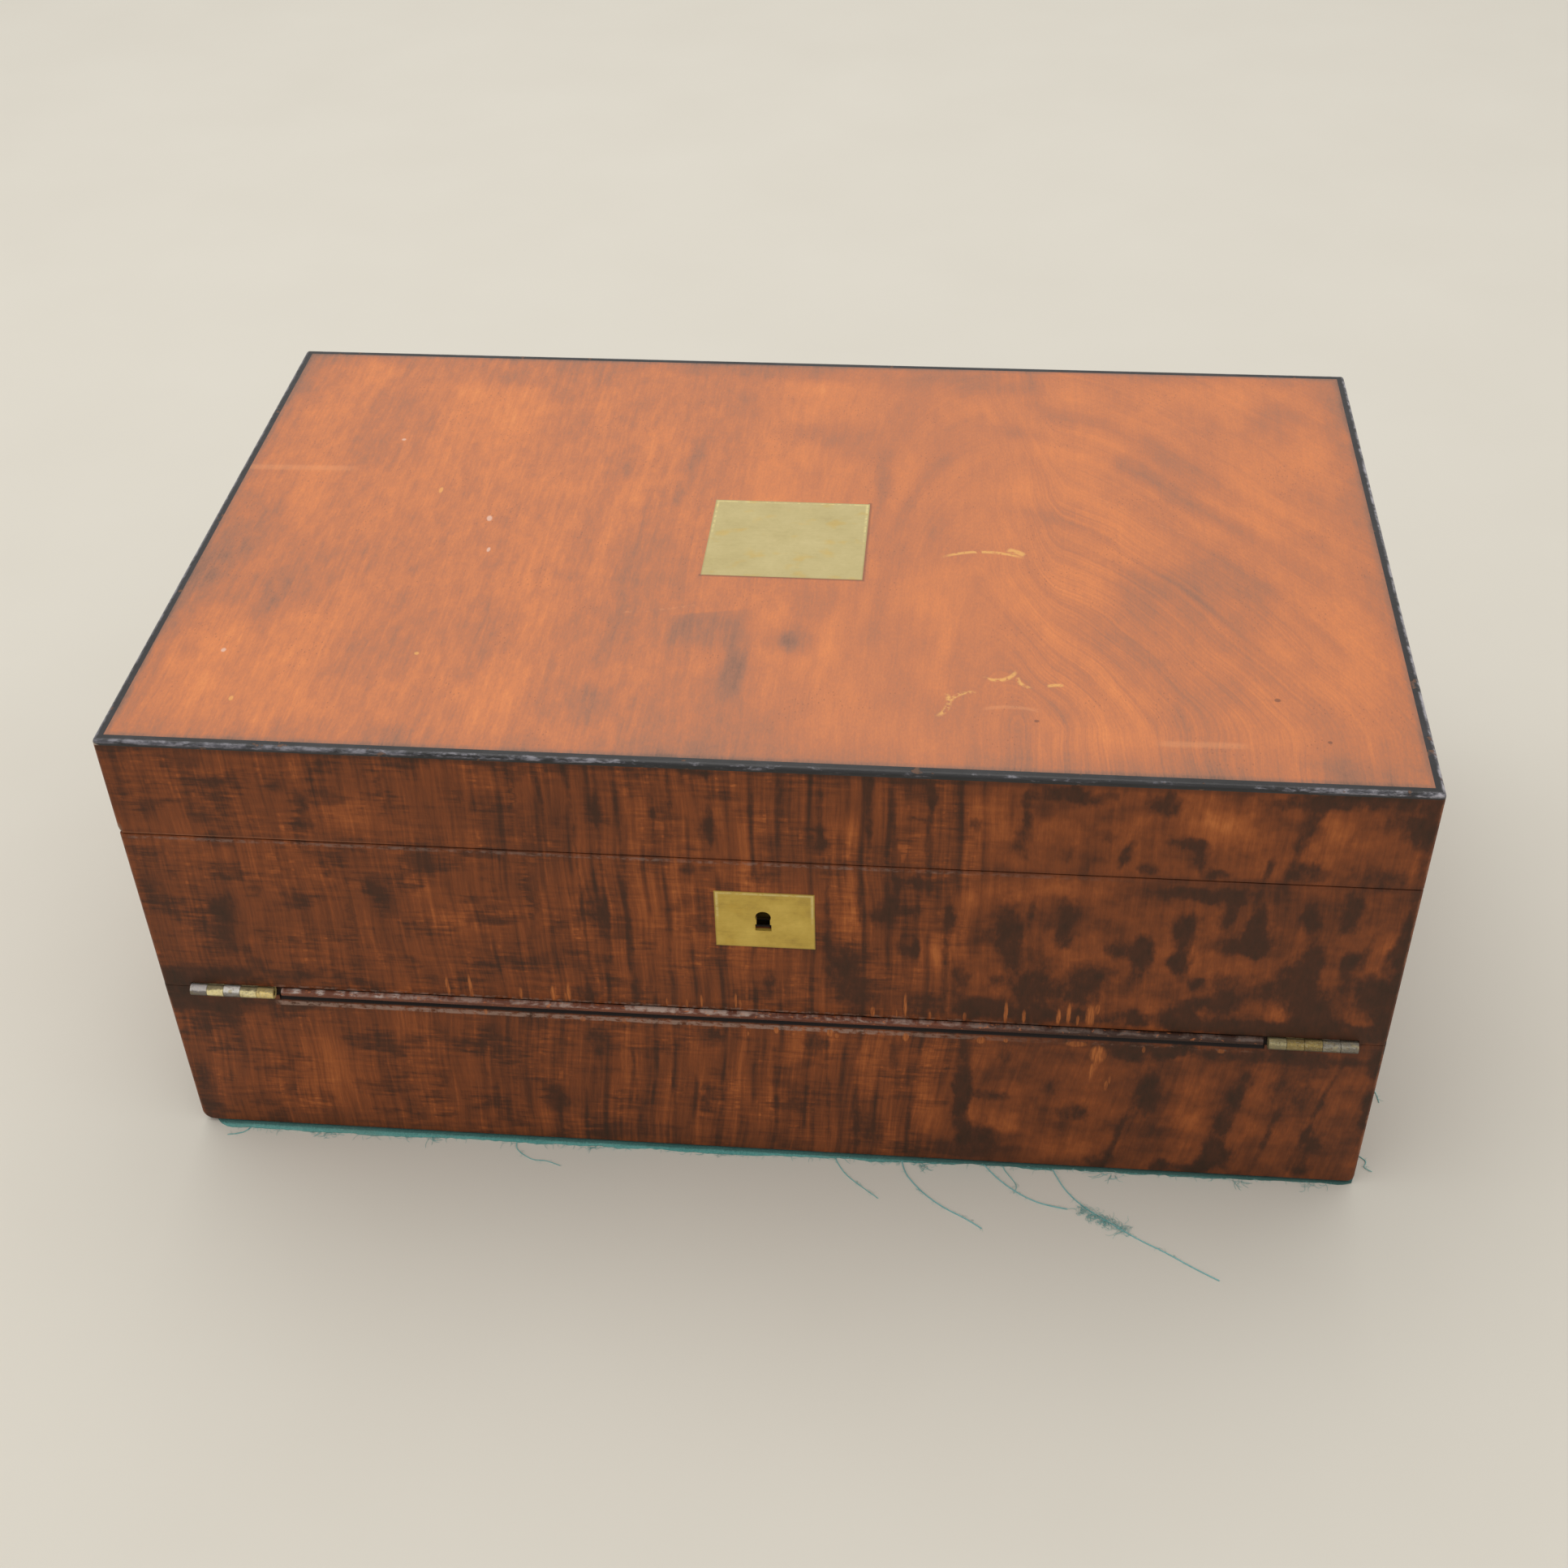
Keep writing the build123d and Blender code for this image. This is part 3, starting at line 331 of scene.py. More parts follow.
MID_BLOTS = [
    (-65.5, 158, 1.1, 24, .34), (-56.5, 157, 1.0, 20, .26), (-48.5, 157, 1.2, 22, .26), (-42, 156, 0.9, 24, .26),
    (-31, 156, 0.8, 22, .22), (-25.8, 158, 1.0, 24, .28), (-13.5, 156, 0.9, 24, .22), (-0.5, 156, 1.0, 24, .26),
    (8, 159, 1.3, 22, .28), (20.5, 158, 1.2, 22, .30), (35, 158, 1.3, 24, .34), (42.5, 157, 1.3, 22, .34),
    (53.5, 156, 1.5, 24, .36), (-17, 171, 4.5, 2.5, .34), (-14.5, 150, 4, 5.5, .34), (-49, 157, 2.5, 6, .26),
    (19.5, 146, 4, 4, .36), (35.5, 168, 2, 4, .30), (54.5, 167, 2.2, 5, .32), (-31.5, 156, 2, 2, .28),
    (48.5, 157, 3.4, 0.9, .26), (-21.5, 133, 3, 3, .34), (-18.5, 110, 4.5, 4, .34), (-51.5, 114, 4.5, 7, .38),
    (40.5, 117, 4.5, 6.5, .42), (43.5, 128, 1.6, 8, .38), (47.5, 102, 4, 4.5, .38), (50, 131.5, 5, 2.6, .38),
    (61.5, 116, 2.2, 5, .42), (27, 95, 6.5, 11, .42), (32, 81, 8.5, 9, .42), (1.5, 132, 5.5, 4, .30),
    (2.5, 84, 3.5, 9, .30), (-58, 75.5, 6.5, 3.5, .34), (-40, 77, 4, 6, .24), (55, 78, 8, 6.5, .40),
    (-56, 106, 0.9, 32, .26), (-48.5, 106, 1.1, 34, .26), (-41.5, 104, 1.2, 34, .32), (-29, 104, 0.8, 34, .22),
    (22.5, 118, 1.4, 22, .34), (32.5, 123, 1.4, 14, .34), (50.5, 116, 1.3, 22, .34), (60, 104, 1.4, 24, .34),
    (-16, 58, 3.8, 4.5, .36), (-55.5, 52.5, 4.8, 8, .36), (-19.5, 27.5, 3.4, 8, .34), (18, 57, 4, 5.5, .40),
    (12, 27, 8, 8, .26), (31.5, 21, 1.6, 22, .36), (37.5, 15, 5, 8, .36), (49.5, 14, 1.2, 16, .34),
    (44, 53, 1.8, 9, .34), (-44, 34, 0.9, 32, .22), (-31, 34, 0.8, 30, .22), (4, 36, 0.9, 30, .24),
    (22, 30, 0.9, 30, .22),
]
LEFT_BLOTS = [
    (-176, 168.5, 8, 3, .38), (-168, 161, 13, 1.9, .34), (-148, 160.5, 4, 2.8, .36), (-141.5, 153, 2.6, 8, .42),
    (-143, 143, 5, 3.3, .30), (-192, 150, 3.6, 5.5, .34), (-181, 152, 9, 1.5, .26), (-115, 159, 1.7, 12, .34),
    (-74.5, 158, 1.2, 18, .34), (-91, 159, 2, 4, .24), (-121, 158, 0.8, 16, .20), (-83, 156, 0.8, 18, .18),
    (-194, 130, 6, 4.5, .38), (-197, 113, 5, 10, .40), (-175, 109, 6, 6, .34), (-178, 95, 7.5, 14, .42),
    (-162, 115, 4, 4.5, .30), (-137.5, 124.5, 2, 3, .34), (-123, 119.5, 5, 6.5, .38), (-120, 109.5, 4, 4, .36),
    (-132.5, 103, 1.2, 13, .28), (-91.5, 115.5, 7, 1.9, .32), (-72.5, 119, 1.8, 17, .40), (-106, 132, 3, 3, .26),
    (-133, 84, 9, 4, .26), (-186, 75, 24, 5, .52), (-155, 78, 9, 4, .40), (-110, 78, 8, 4.5, .28),
    (-132, 133.5, 4, 2, .30), (-200, 66, 7, 9, .52), (-184, 61.5, 20, 4.4, .46), (-184, 56, 6, 5, .34),
    (-181.5, 46, 2.6, 10, .34), (-170, 41, 3, 5, .28), (-109, 53, 4.5, 6, .34), (-92, 53, 4, 7.5, .42),
    (-111.5, 26, 4.5, 12, .34), (-74, 23, 4.5, 5, .40), (-67, 19, 7, 10, .24), (-134, 11.5, 5, 1.6, .30),
    (-122.5, 10.5, 2.6, 3, .34), (-112.5, 11, 5, 2, .32), (-180, 15, 8, 5, .28), (-199, 23, 5, 9, .36),
    (-150, 63, 22, 1.6, .30), (-96, 40, 0.8, 24, .18), (-85, 36, 0.9, 28, .20), (-142, 100, 0.8, 30, .16),
]
GLOWS = [
    (29, 151, 4.5, 9, .17), (28.5, 119, 3, 13, .17), (58, 102, 5, 7.5, .19), (67, 127, 4, 6, .15),
    (87, 130, 22, 5, .16), (57, 25, 6, 14, .20), (85, 23, 11, 9, .13), (143, 31, 7.5, 20, .16),
    (143, 159, 13, 9, .17), (173.5, 156, 7, 8, .19), (72, 157, 8, 13, .13), (142, 121, 3.6, 6, .16),
    (-108, 119, 9, 6, .12), (-96, 106, 13, 6, .12), (-128, 150, 11, 8, .15), (-83, 165, 6, 6, .15),
    (-153, 33, 10, 18, .10), (-36, 160, 4, 12, .10), (-62, 118, 4, 12, .10), (13, 120, 7, 10, .12),
    (198, 147, 5, 6, .12), (196, 118, 4, 8, .10), (102, 103, 9, 4, .14), (-8, 40, 5, 16, .08), (36, 42, 4, 12, .14), (98, 12, 16, 8, .10),
]


def crazed(g, x, z, seed, where):
    """Figure of the mahogany veneer that stands upright on the walls: soft upright lines,
    fine level crazing across them and ragged clouds. x runs along the wall and z up it.
    Returns (darkness, crack depth, raggedness for anything laid over it)."""
    left, right = where
    mid = (1 - left) * (1 - right)
    drift = g.noise(g.vec(x * 0.012, z * 0.020, seed), 1, 1.0) - 0.5
    xv = x + drift * 6 - g.m("MINIMUM", z - 62.0, 0.0) * (0.03 + right * 0.13 + mid * 0.06)
    grain = g.noise(g.vec(xv * 0.55, z * 0.026, seed + 4.0), 1, 3.5, 0.66)
    hair = g.noise(g.vec(xv * 1.15, z * 0.040, seed + 3.0), 1, 2.0, 0.5)
    band = g.noise(g.vec(xv * 0.14, z * 0.012, seed + 6.0), 1, 2.0, 0.5)
    big = g.noise(g.vec(x * 0.019, z * 0.028, seed + 13.0), 1, 2.0, 0.5)
    # upright lines 5 to 14 mm apart, soft-edged and of uneven width, each fading in and out
    cell = V(g, g.cells1(xv * (1 / 8.6)).outputs["Distance"])
    fade = g.noise(g.vec(xv * 0.10, z * 0.030, seed + 2.0), 1, 2.0, 0.55)
    line = g.down(0.0, 0.16, cell + (grain - 0.5) * 0.14) * g.up(0.40, 0.60, fade)
    # level crazing, quite straight, in patches
    level = g.noise(g.vec(x * 0.075, z * 0.55, seed + 8.0), 1, 2.5, 0.62)
    patch = g.noise(g.vec(x * 0.045, z * 0.06, seed + 5.0), 1, 2.0, 0.5)
    ladder = (level - 0.5) * g.up(0.34, 0.56, patch)
    cl = g.noise(g.vec(x * 0.050, z * 0.072, seed + 9.0), 1, 3.0, 0.55)
    cloud = g.up(0.50, 0.70, cl + (level - 0.5) * 0.26 + (grain - 0.5) * 0.16)
    # small dashes where upright and level crazing cross
    dash = g.up(0.50, 0.62, g.noise(g.vec(xv * 0.40, z * 0.05, seed + 15.0), 1, 1.0, 0.5)) * g.up(0.50, 0.60, g.noise(g.vec(x * 0.12, z * 0.50, seed + 16.0), 1, 1.0, 0.5))
    dash = dash * g.up(0.48, 0.60, patch)
    pores = g.noise(g.vec(x * 2.1, z * 0.34, seed), 1, 2.0, 0.6)
    dark = (0.44 + (grain - 0.5) * (0.50 - right * 0.20) + (hair - 0.5) * (0.28 - right * 0.17) + (band - 0.5) * (0.44 + mid * 0.30 - right * 0.20)
            + (big - 0.5) * 0.36 + (pores - 0.5) * 0.16 + (cl - 0.5) * right * 0.70
            + line * (0.05 + mid * 0.24)
            + ladder * (0.44 * left + 0.50 * mid + 0.06)
            + cloud * (0.21 * left + 0.12 * mid + 0.06)
            - dash * (0.15 * left + 0.17 * mid))
    return dark, line * 0.03 + g.up(0.5, 0.7, hair) * 0.015, level - 0.5


def solid_wood(g, along, across, thick, seed=0.0, tone=0.0):
    """Plain mahogany with the grain along one axis. Returns (colour, grain)."""
    wav = g.noise(g.vec(along * 0.010, across * 0.03, seed), 1, 2) - 0.5
    band = g.noise(g.vec(along * 0.006, (across + wav * 12) * 0.22, thick * 0.22 + seed), 1, 4, 0.6)
    pore = g.noise(g.vec(along * 0.16, across * 2.6, thick * 2.6 + seed), 1, 2, 0.6)
    blot = g.noise(g.vec(along * 0.014, across * 0.02, seed + 3.0), 1, 3, 0.55)
    v = band * 0.55 + g.up(0.5, 0.72, pore) * 0.22 + blot * 0.35 + tone
    col = g.ramp(v, [(0.25, lin(150, 84, 52)), (0.45, lin(122, 62, 40)), (0.62, lin(98, 50, 34)), (0.85, lin(58, 32, 24))])
    return col, v


def wall(name, face):
    """Veneered wall: figured veneer 0.9 mm deep on its outside, plain mahogany within."""
    g = Net(name)
    x, y, z = g.place()
    if face in ("front", "back"):
        along, depth = x, (y + 125.0 if face == "front" else 125.0 - y)
        inner_along, inner_across = x, y
        seed = 0.0 if face == "front" else 40.0
    else:
        along, depth = y, (x + 203.0 if face == "left" else 203.0 - x)
        inner_along, inner_across = y, x
        seed = 60.0 if face == "left" else 80.0
    wander = g.noise(g.vec(x * 0.02, y * 0.02, z * 0.02), 1, 2) - 0.5
    if face == "front":
        left = g.down(-110.0, -60.0, x + wander * 110)
        right = g.up(52.0, 84.0, x + wander * 60)
    elif face == "back":
        left = g.up(60.0, 170.0, x + wander * 150)
        right = g.down(-170.0, -60.0, x + wander * 120)
    else:
        left = g.down(-130.0, -20.0, y + wander * 120)
        right = g.up(30.0, 120.0, y + wander * 120) * 0.8
    # at the corners the figure runs on round the arris
    fig = along
    if face in ("front", "back"):
        fig = along + (depth * g.m("SIGN", x)) * g.up(201.6, 202.4, abs(x))
    dark, crack, lev = crazed(g, fig, z, seed, (left, right))

    if face == "front":
        n1 = g.noise(g.vec(x * 0.19, z * 0.11, 31.0), 1, 3.0, 0.62) - 0.5
        n2 = g.noise(g.vec(x * 0.75, z * 0.26, 32.0), 1, 2.0, 0.6) - 0.5
        p = g.shaken(g.vec(x, z, 0.0), (0.12, 0.09, 0.0), (6.0, 9.0, 0.0), 3.0)
        f = g.blots(p, RIGHT_BLOTS, 0.15, 1.75, "ADD")
        ps = g.shaken(g.vec(x - z * 0.2, z, 0.0), (0.16, 0.08, 0.0), (3.0, 8.0, 0.0), 5.0)
        f = f + g.blots(ps, [(a - b * 0.2, b, c, d, e) for a, b, c, d, e in SLANT_BLOTS], 0.2, 1.75, "ADD")
        spots = g.up(0.12, 1.20, f * 2.55 + n1 * 1.0 + n2 * 0.4)
        thin = g.shaken(g.vec(x, z, 0.0), (0.09, 0.05, 0.0), (2.6, 7.0, 0.0), 11.0)
        fm = g.blots(thin, MID_BLOTS, 0.15, 1.7, "ADD")
        spots = g.any(spots, g.up(0.14, 1.22, fm * 2.3 + n1 * 0.9 + n2 * 0.5 + lev * 0.4))
        # the left end's clouds break up in level streaks
        lp = g.shaken(g.vec(x + lev * 9.0, z, 0.0), (0.11, 0.12, 0.0), (7.0, 6.0, 0.0), 21.0)
        fl = g.blots(lp, LEFT_BLOTS, 0.1, 1.8, "ADD")
        spots = g.any(spots, g.up(0.14, 1.45, fl * 2.2 + lev * 0.7 + n1 * 0.6 + n2 * 0.3))
        dark = dark + n1 * right * 0.34
        dark = dark + spots * (0.88 + n1 * 0.6 + n2 * 0.3 - dark) * 0.88
        dark = dark - g.blots(p, GLOWS, 0.05, 1.5) * (1 - spots * 0.6) * 1.25
    else:
        # round and slanting dark spots where the figure is wildest
        n2 = g.noise(g.vec(along * 0.75, z * 0.26, seed + 32.0), 1, 2.0, 0.6) - 0.5
        spot = g.noise(g.vec((along + z * 0.22) * 0.085, z * 0.046, seed + 21.0), 1, 2.0, 0.5, 0.3)
        dark = dark + g.up(0.49, 0.62, spot + n2 * 0.10) * (right * 0.42 + 0.05)
        blot = g.noise(g.vec(along * 0.06, z * 0.040, seed + 27.0), 1, 2.5, 0.55)
        dark = dark + g.up(0.51, 0.68, blot + lev * 0.18 + n2 * 0.08) * 0.26

    # darker along the two seams, toward the foot and under the edging
    s1, s2 = abs(z - Z_SEAM1), abs(z - (Z_SEAM2 - 1.2))
    rag = g.noise(g.vec(x * 0.11, y * 0.11, z * 0.05), 1, 3, 0.6)
    foot = g.down(1.0, 14.0, z + (rag - 0.5) * 16)
    ends = g.up(190.0, 203.0, abs(x) + (rag - 0.5) * 14)
    if face == "front":
        dark = dark + g.down(0.0, 7.0, s2 + (rag - 0.5) * 9) * 0.14 + foot * 0.10
        # the base is a shade darker at the right end and lighter at the left one
        dark = dark + (right * 0.04 - left * 0.035) * g.down(58.0, 66.0, z)
        # a lighter field round the escutcheon
        dark = dark - g.down(0.2, 1.3, g.near(x, z, 4.0, 108.0, 72.0, 34.0)) * (1 - spots * 0.5) * 0.09
    else:
        dark = dark + foot * 0.12
    dark = dark + g.down(0.0, 2.4, s1) * 0.08 + g.down(0.3, 2.6, (173.3 - z)) * 0.18
    if face in ("front", "back"):
        dark = dark + ends * 0.06
        dark = g.lerp(g.up(202.0, 202.3, abs(x)), dark, dark * 0.45 + 0.27)
    col = g.ramp(dark, VENEER_STOPS)

    if face == "front":
        wear = g.noise(g.vec(x * 0.33, z * 0.5, 3.0), 1, 3.5, 0.72)
        runs = g.noise(g.vec(x * 0.05, 9.0, 1.0), 1, 2.0, 0.6)
        grey = lin(150, 128, 118)
        # worn arrises of both seams: pale where the polish has gone; the grey line below the upper seam is also a
        # painted highlight
        low1_wear_highlight = g.up(135.4, 135.9, z + (runs - 0.5) * 0.8) * g.down(136.7, 137.0, z) * g.up(0.43, 0.60, wear * 0.7 + runs * 0.3) * g.down(20.0, 140.0, x)
        col = g.mix(low1_wear_highlight * 0.34, col, grey)
        up1 = g.up(137.4, 137.5, z) * g.down(137.9, 138.6, z) * g.down(-130.0, -110.0, x) * g.up(0.30, 0.5, wear)
        col = g.mix(up1 * 0.5, col, lin(150, 96, 66))
        # pale line on the flap's worn lower arris above the bead: wear with a painted highlight
        over = g.up(71.0, 71.15, z) * g.down(71.6, 72.4, z + (runs - 0.5) * 1.2) * g.up(0.44, 0.58, wear) * g.up(-166.0, -163.0, x) * g.down(30.0, 130.0, x)
        col = g.mix(over * 0.35, col, lin(150, 128, 116))
        # pale line on the base's worn arris below the lower seam: wear with a painted highlight
        under = g.up(62.4, 62.9, z + (runs - 0.5) * 1.0) * g.down(64.3, 64.9, z) * g.up(-166.0, -163.0, x) * g.down(20.0, 110.0, x)
        under = under * g.up(0.36, 0.56, wear)
        col = g.mix(under * 0.74, col, lin(156, 128, 114))
        # a fainter stretch of the same pale line further right: wear with a painted highlight
        faint = g.up(62.9, 63.4, z) * g.down(64.2, 64.8, z) * g.up(80.0, 110.0, x) * g.down(158.0, 164.0, x) * g.up(0.50, 0.62, wear)
        col = g.mix(faint * 0.4, col, lin(120, 92, 78))
        # upright splinters of bare wood above the lower seam, chips below it
        sp = g.shaken(g.vec(x, z, 0.0), (0.6, 0.25, 0.0), (0.7, 0.8, 0.0), 2.0)
        ticks = g.blots(sp, [
            (-104.5, 75.5, 0.7, 4.6, 1), (-96.8, 75.5, 0.7, 6.6, 1), (-80, 74, 0.6, 3.4, .8), (-69, 74.5, 1.0, 4.4, 1), (-63.7, 76, 0.8, 4.6, 1),
            (-64.9, 73, 0.6, 2.6, .7), (-19.5, 74.5, 0.5, 3.4, .9), (-24.5, 73, 0.5, 2.4, .6), (-8.2, 75.5, 0.5, 4.0, .9), (-6.6, 73.5, 0.5, 2.4, .7),
            (37, 73.4, 0.8, 2.6, 1), (47.6, 77, 0.6, 6.2, 1), (44.8, 73, 0.4, 2.2, .6), (67, 73.2, 0.7, 2.2, .8), (80.3, 76, 0.7, 5.6, 1),
            (86.2, 74.6, 0.7, 3.6, .9), (97.4, 75.4, 0.8, 4.2, 1), (100.6, 77, 0.8, 5.6, 1), (103.6, 74, 0.6, 2.6, .8),
            (107.6, 76.5, 1.7, 5.6, .9), (109.6, 79.6, 0.9, 2.6, .9), (-31.0, 73.2, 0.5, 2.0, .6), (55.6, 73, 0.6, 2.0, .7),
        ], 0.55, 1.1)
        chips = g.blots(sp, [
            (5, 62.4, 1.1, 1.8, 1), (23, 62.4, 1.4, 2.0, 1), (25.2, 61.2, 0.7, 1.4, .8), (48, 62.2, 1.2, 2.2, 1), (72.8, 62.6, 1.5, 2.0, .8), (81, 63, 0.9, 1.2, .9),
            (104, 63, 4.0, 1.4, .7), (151, 63, 1.4, 1.2, .6), (-4.5, 60.0, 0.5, 1.2, .7), (92, 66.4, 1.3, 0.6, .8), (-46, 63.2, 0.9, 1.4, .6), (-93, 64.2, 0.8, 1.6, .7),
            (-60, 63.0, 1.2, 1.2, .7), (126, 62.0, 0.6, 1.8, .5),
            (111.4, 58.6, 3.0, 4.6, 1), (109.9, 50.0, 0.8, 4.4, .8), (110.9, 53.6, 0.8, 3.6, .9), (115.2, 43.6, 0.6, 2.8, .7), (116.2, 46.6, 0.5, 2.2, .6),
        ], 0.6, 1.08)
        fibre = g.noise(g.vec(x * 1.6, z * 0.16, 8.0), 1, 2, 0.6)
        bare = g.mix(g.up(0.35, 0.62, fibre), lin(140, 76, 38), lin(184, 108, 54))
        col = g.mix(g.any(ticks, chips) * 0.86, col, bare)
        # bare wood where flakes have gone from the corners
        nick = g.down(0.5, 1.0, g.near(x, z, -203.0, 139.6, 2.2, 3.4)) * g.up(137.3, 137.6, z)
        col = g.mix(nick * 0.85, col, lin(126, 96, 76))
        # painted shade: the worn hollow under the bead is coloured nearly black
        hollow_painted_shade = g.up(0.05, 0.35, depth) * g.down(1.8, 2.4, depth) * g.up(64.7, 65.3, z) * g.down(71.0, 71.3, z)
        col = g.mix(hollow_painted_shade * 0.93, col, lin(26, 18, 15))
    # rubbed outer corners
    rub_n = g.noise(g.vec(z * 0.16, x * 0.2, y * 0.2), 1, 4, 0.7)
    if face in ("front", "back"):
        corner = g.up(201.7, 202.8, abs(x)) * g.down(0.2, 1.6, depth) * g.up(0.46, 0.60, rub_n)
        col = g.mix(corner * 0.7, col, lin(150, 96, 64))

    inner, iv = solid_wood(g, inner_along, inner_across, z, seed * 0.1)
    if face in ("front", "back"):
        skin = g.any(g.down(0.88, 0.92, depth), g.up(202.08, 202.12, abs(x)))
    else:
        skin = g.down(0.88, 0.92, depth)
    col = g.mix(skin, inner, col)
    if face == "front":
        # painted shade in the hollow again, over the inner wood
        col = g.mix(hollow_painted_shade * 0.93, col, lin(26, 18, 15))

    smear = g.noise(g.vec(x * 0.03, y * 0.03, z * 0.03), 1, 3, 0.6)
    rough = 0.36 + smear * 0.22 + dark * 0.06
    rough = g.lerp(skin, 0.55, rough)
    h = crack * -1.0 * skin + g.noise(g.vec(x * 0.5, y * 0.5, z * 0.22), 1, 3, 0.6) * 0.02 + smear * 0.15
    return g.finish(col, rough, None, g.bump(h, 0.9), Specular_IOR_Level=0.2)


def top_veneer():
    """Lid panel: flame figure that rises in nested arches right of the middle."""
    g = Net("veneer_top")
    x, y, z = g.place()
    w1 = g.noise(g.vec(x * 0.012, y * 0.012, 1.0), 1, 2) - 0.5
    w2 = g.noise(g.vec(x * 0.045, y * 0.035, 5.0), 1, 2.5, 0.55) - 0.5
    u = x - 79.5 + w1 * 15 + w2 * 4
    v = y + 100.0 + w1 * 12
    # right of the axis the arches spread out, left of it they stand nearly upright
    au = abs(u)
    vr = g.m("MAXIMUM", v, 0.5)
    rr = g.m("POWER", g.m("POWER", au * (1 / 0.80), 1.32) + g.m("POWER", vr, 1.32), 1 / 1.32)
    rl = g.m("POWER", g.m("POWER", au * (1 / 0.27), 2.6) + g.m("POWER", vr, 2.6), 1 / 2.6)
    side = g.up(-14.0, 14.0, u)
    ring = g.lerp(side, rl, rr)
    # below the arches' feet the figure is plain, so the rings take an even pitch
    pitch = g.lerp(side, ring * 0.27, ring * 0.62)
    arch = g.noise(g.vec(pitch * 0.075, x * 0.004, y * 0.004), 1, 1.5, 0.5)
    mid = g.noise(g.vec(pitch * 0.30, x * 0.007, y * 0.007 + 4.0), 1, 2.5, 0.6)
    hair = g.noise(g.vec(pitch * 1.35, x * 0.016, y * 0.016 + 9.0), 1, 3.0, 0.65)
    swirl = g.down(30.0, 220.0, rr) * side
    patch = g.noise(g.vec(x * 0.014, y * 0.012, 2.0), 1, 3, 0.55)
    cloud = g.noise(g.vec(x * 0.032, y * 0.020, 12.0), 1, 4, 0.6)
    pore = g.noise(g.vec(x * 1.7, y * 0.6, 3.0), 1, 2, 0.6)
    fleck = g.cells(g.vec(x * 0.42, y * 0.24, 0.0), 1.0, "F1", 1.0, "2D")
    # a few bands of the outer arches, drawn where they lie
    come = g.up(0.36, 0.60, g.noise(g.vec(x * 0.018, y * 0.018, 15.0), 1, 2, 0.5))
    bands = g.any(
        g.down(0.0, 9.0, abs(rr - 173.0 + w2 * 7)) * 0.15,
        g.down(0.0, 6.0, abs(rr - 151.0 + w2 * 6)) * 0.08,
        g.down(0.0, 5.0, abs(rr - 121.0 + w2 * 5)) * 0.07,
        g.down(0.0, 9.0, abs(rr - 196.0 + w2 * 8)) * 0.10,
    ) * side * come + g.down(0.0, 11.0, abs(rl - 174.0 + w2 * 6)) * g.up(20.0, 90.0, v) * (1 - side) * come * 0.14
    # fine front-to-back grain and mottling, strongest in the left third
    mott = g.noise(g.vec(x * 0.30, y * 0.10, 17.0), 1, 3.0, 0.65)
    streak = g.noise(g.vec(x * 0.75, y * 0.030, 18.0), 1, 2.5, 0.6)
    plain = g.down(-70.0, 40.0, x + w1 * 80)
    v = (0.45 + (arch - 0.5) * (0.24 + swirl * 0.14) + (mid - 0.5) * (0.18 + swirl * 0.26) + (hair - 0.5) * (0.16 + swirl * 0.36)
         + (patch - 0.5) * 0.56 + (cloud - 0.5) * 0.60 + (pore - 0.5) * 0.28 + bands
         + (mott - 0.5) * (0.20 + plain * 0.34) + (streak - 0.5) * (0.14 + plain * 0.16))
    # grime along the black edging
    edge = g.any(abs(x) - 78.0, abs(y))          # 125 at every edge
    rag = g.noise(g.vec(x * 0.06, y * 0.06, 7.0), 1, 3, 0.6)
    v = v + g.up(108.0, 123.0, edge + (rag - 0.5) * 18) * 0.16
    v = v + g.up(119.5, 122.2, edge) * 0.22
    # darker places: a smudge with a sharp upper edge in front of the plate, soft ones about it
    sp = g.shaken(g.vec(x, y, 0.0), (0.07, 0.05, 0.0), (9.0, 12.0, 0.0), 4.0)
    soft = g.blots(sp, [
        (-9, -72, 8, 30, .22), (31, 34, 4.5, 34, .20), (3, -62, 6, 8, .24), (-184, 0, 13, 44, .16), (-175, -42, 18, 22, .15),
        (-60, 42, 9, 14, .14), (-38, 52, 4, 18, .14), (-92, -70, 16, 26, .10), (170, -112, 26, 8, .12), (176, 90, 14, 30, .16),
        (60, 110, 60, 9, .12), (-110, 108, 60, 10, .10), (-56, -98, 22, 14, .12), (140, -20, 26, 12, .08), (10, 70, 26, 10, .12),
    ], 0.1, 1.25)
    near_sp = g.shaken(g.vec(x, y, 0.0), (0.16, 0.11, 0.0), (3.5, 5.0, 0.0), 6.0)
    sharp = g.blots(near_sp, [(-21, -56, 16, 15, 1), (-11, -76, 5, 18, .8), (9, -60, 6, 8, .8)], 0.3, 1.35)
    sharp = sharp * g.any(g.down(-46.8, -45.2, y - (x + 21.0) * 0.20 + (rag - 0.5) * 2), g.up(-4.0, 0.0, x))
    lights = g.blots(sp, [
        (-108, 84, 14, 20, .15), (-8, 104, 30, 8, .12), (-62, -6, 5, 34, .12), (82, 30, 12, 18, .10), (-112, 20, 12, 34, .06),
        (-30, 58, 5, 10, .12), (150, 60, 22, 22, .07), (-112, -80, 20, 16, .10), (46, -10, 5, 40, .10), (28, -88, 10, 16, .08),
        (-56, 32, 3.4, 36, .11), (-45, 36, 2.6, 30, .09), (-36, 8, 2.6, 30, .07), (2, -42, 3.4, 13, .13), (17, -62, 3.4, 26, .12),
        (56, -70, 4, 30, .09), (-92, -14, 3, 40, .06), (-100, -30, 26, 8, .05), (158, 96, 9, 20, .09),
    ], 0.1, 1.25)
    v = v + soft + sharp * 0.27 - lights
    col = g.ramp(v, [(0.02, lin(224, 142, 76)), (0.28, lin(204, 120, 65)), (0.50, lin(181, 107, 65)),
                     (0.74, lin(150, 98, 71)), (1.00, lin(108, 79, 63))])
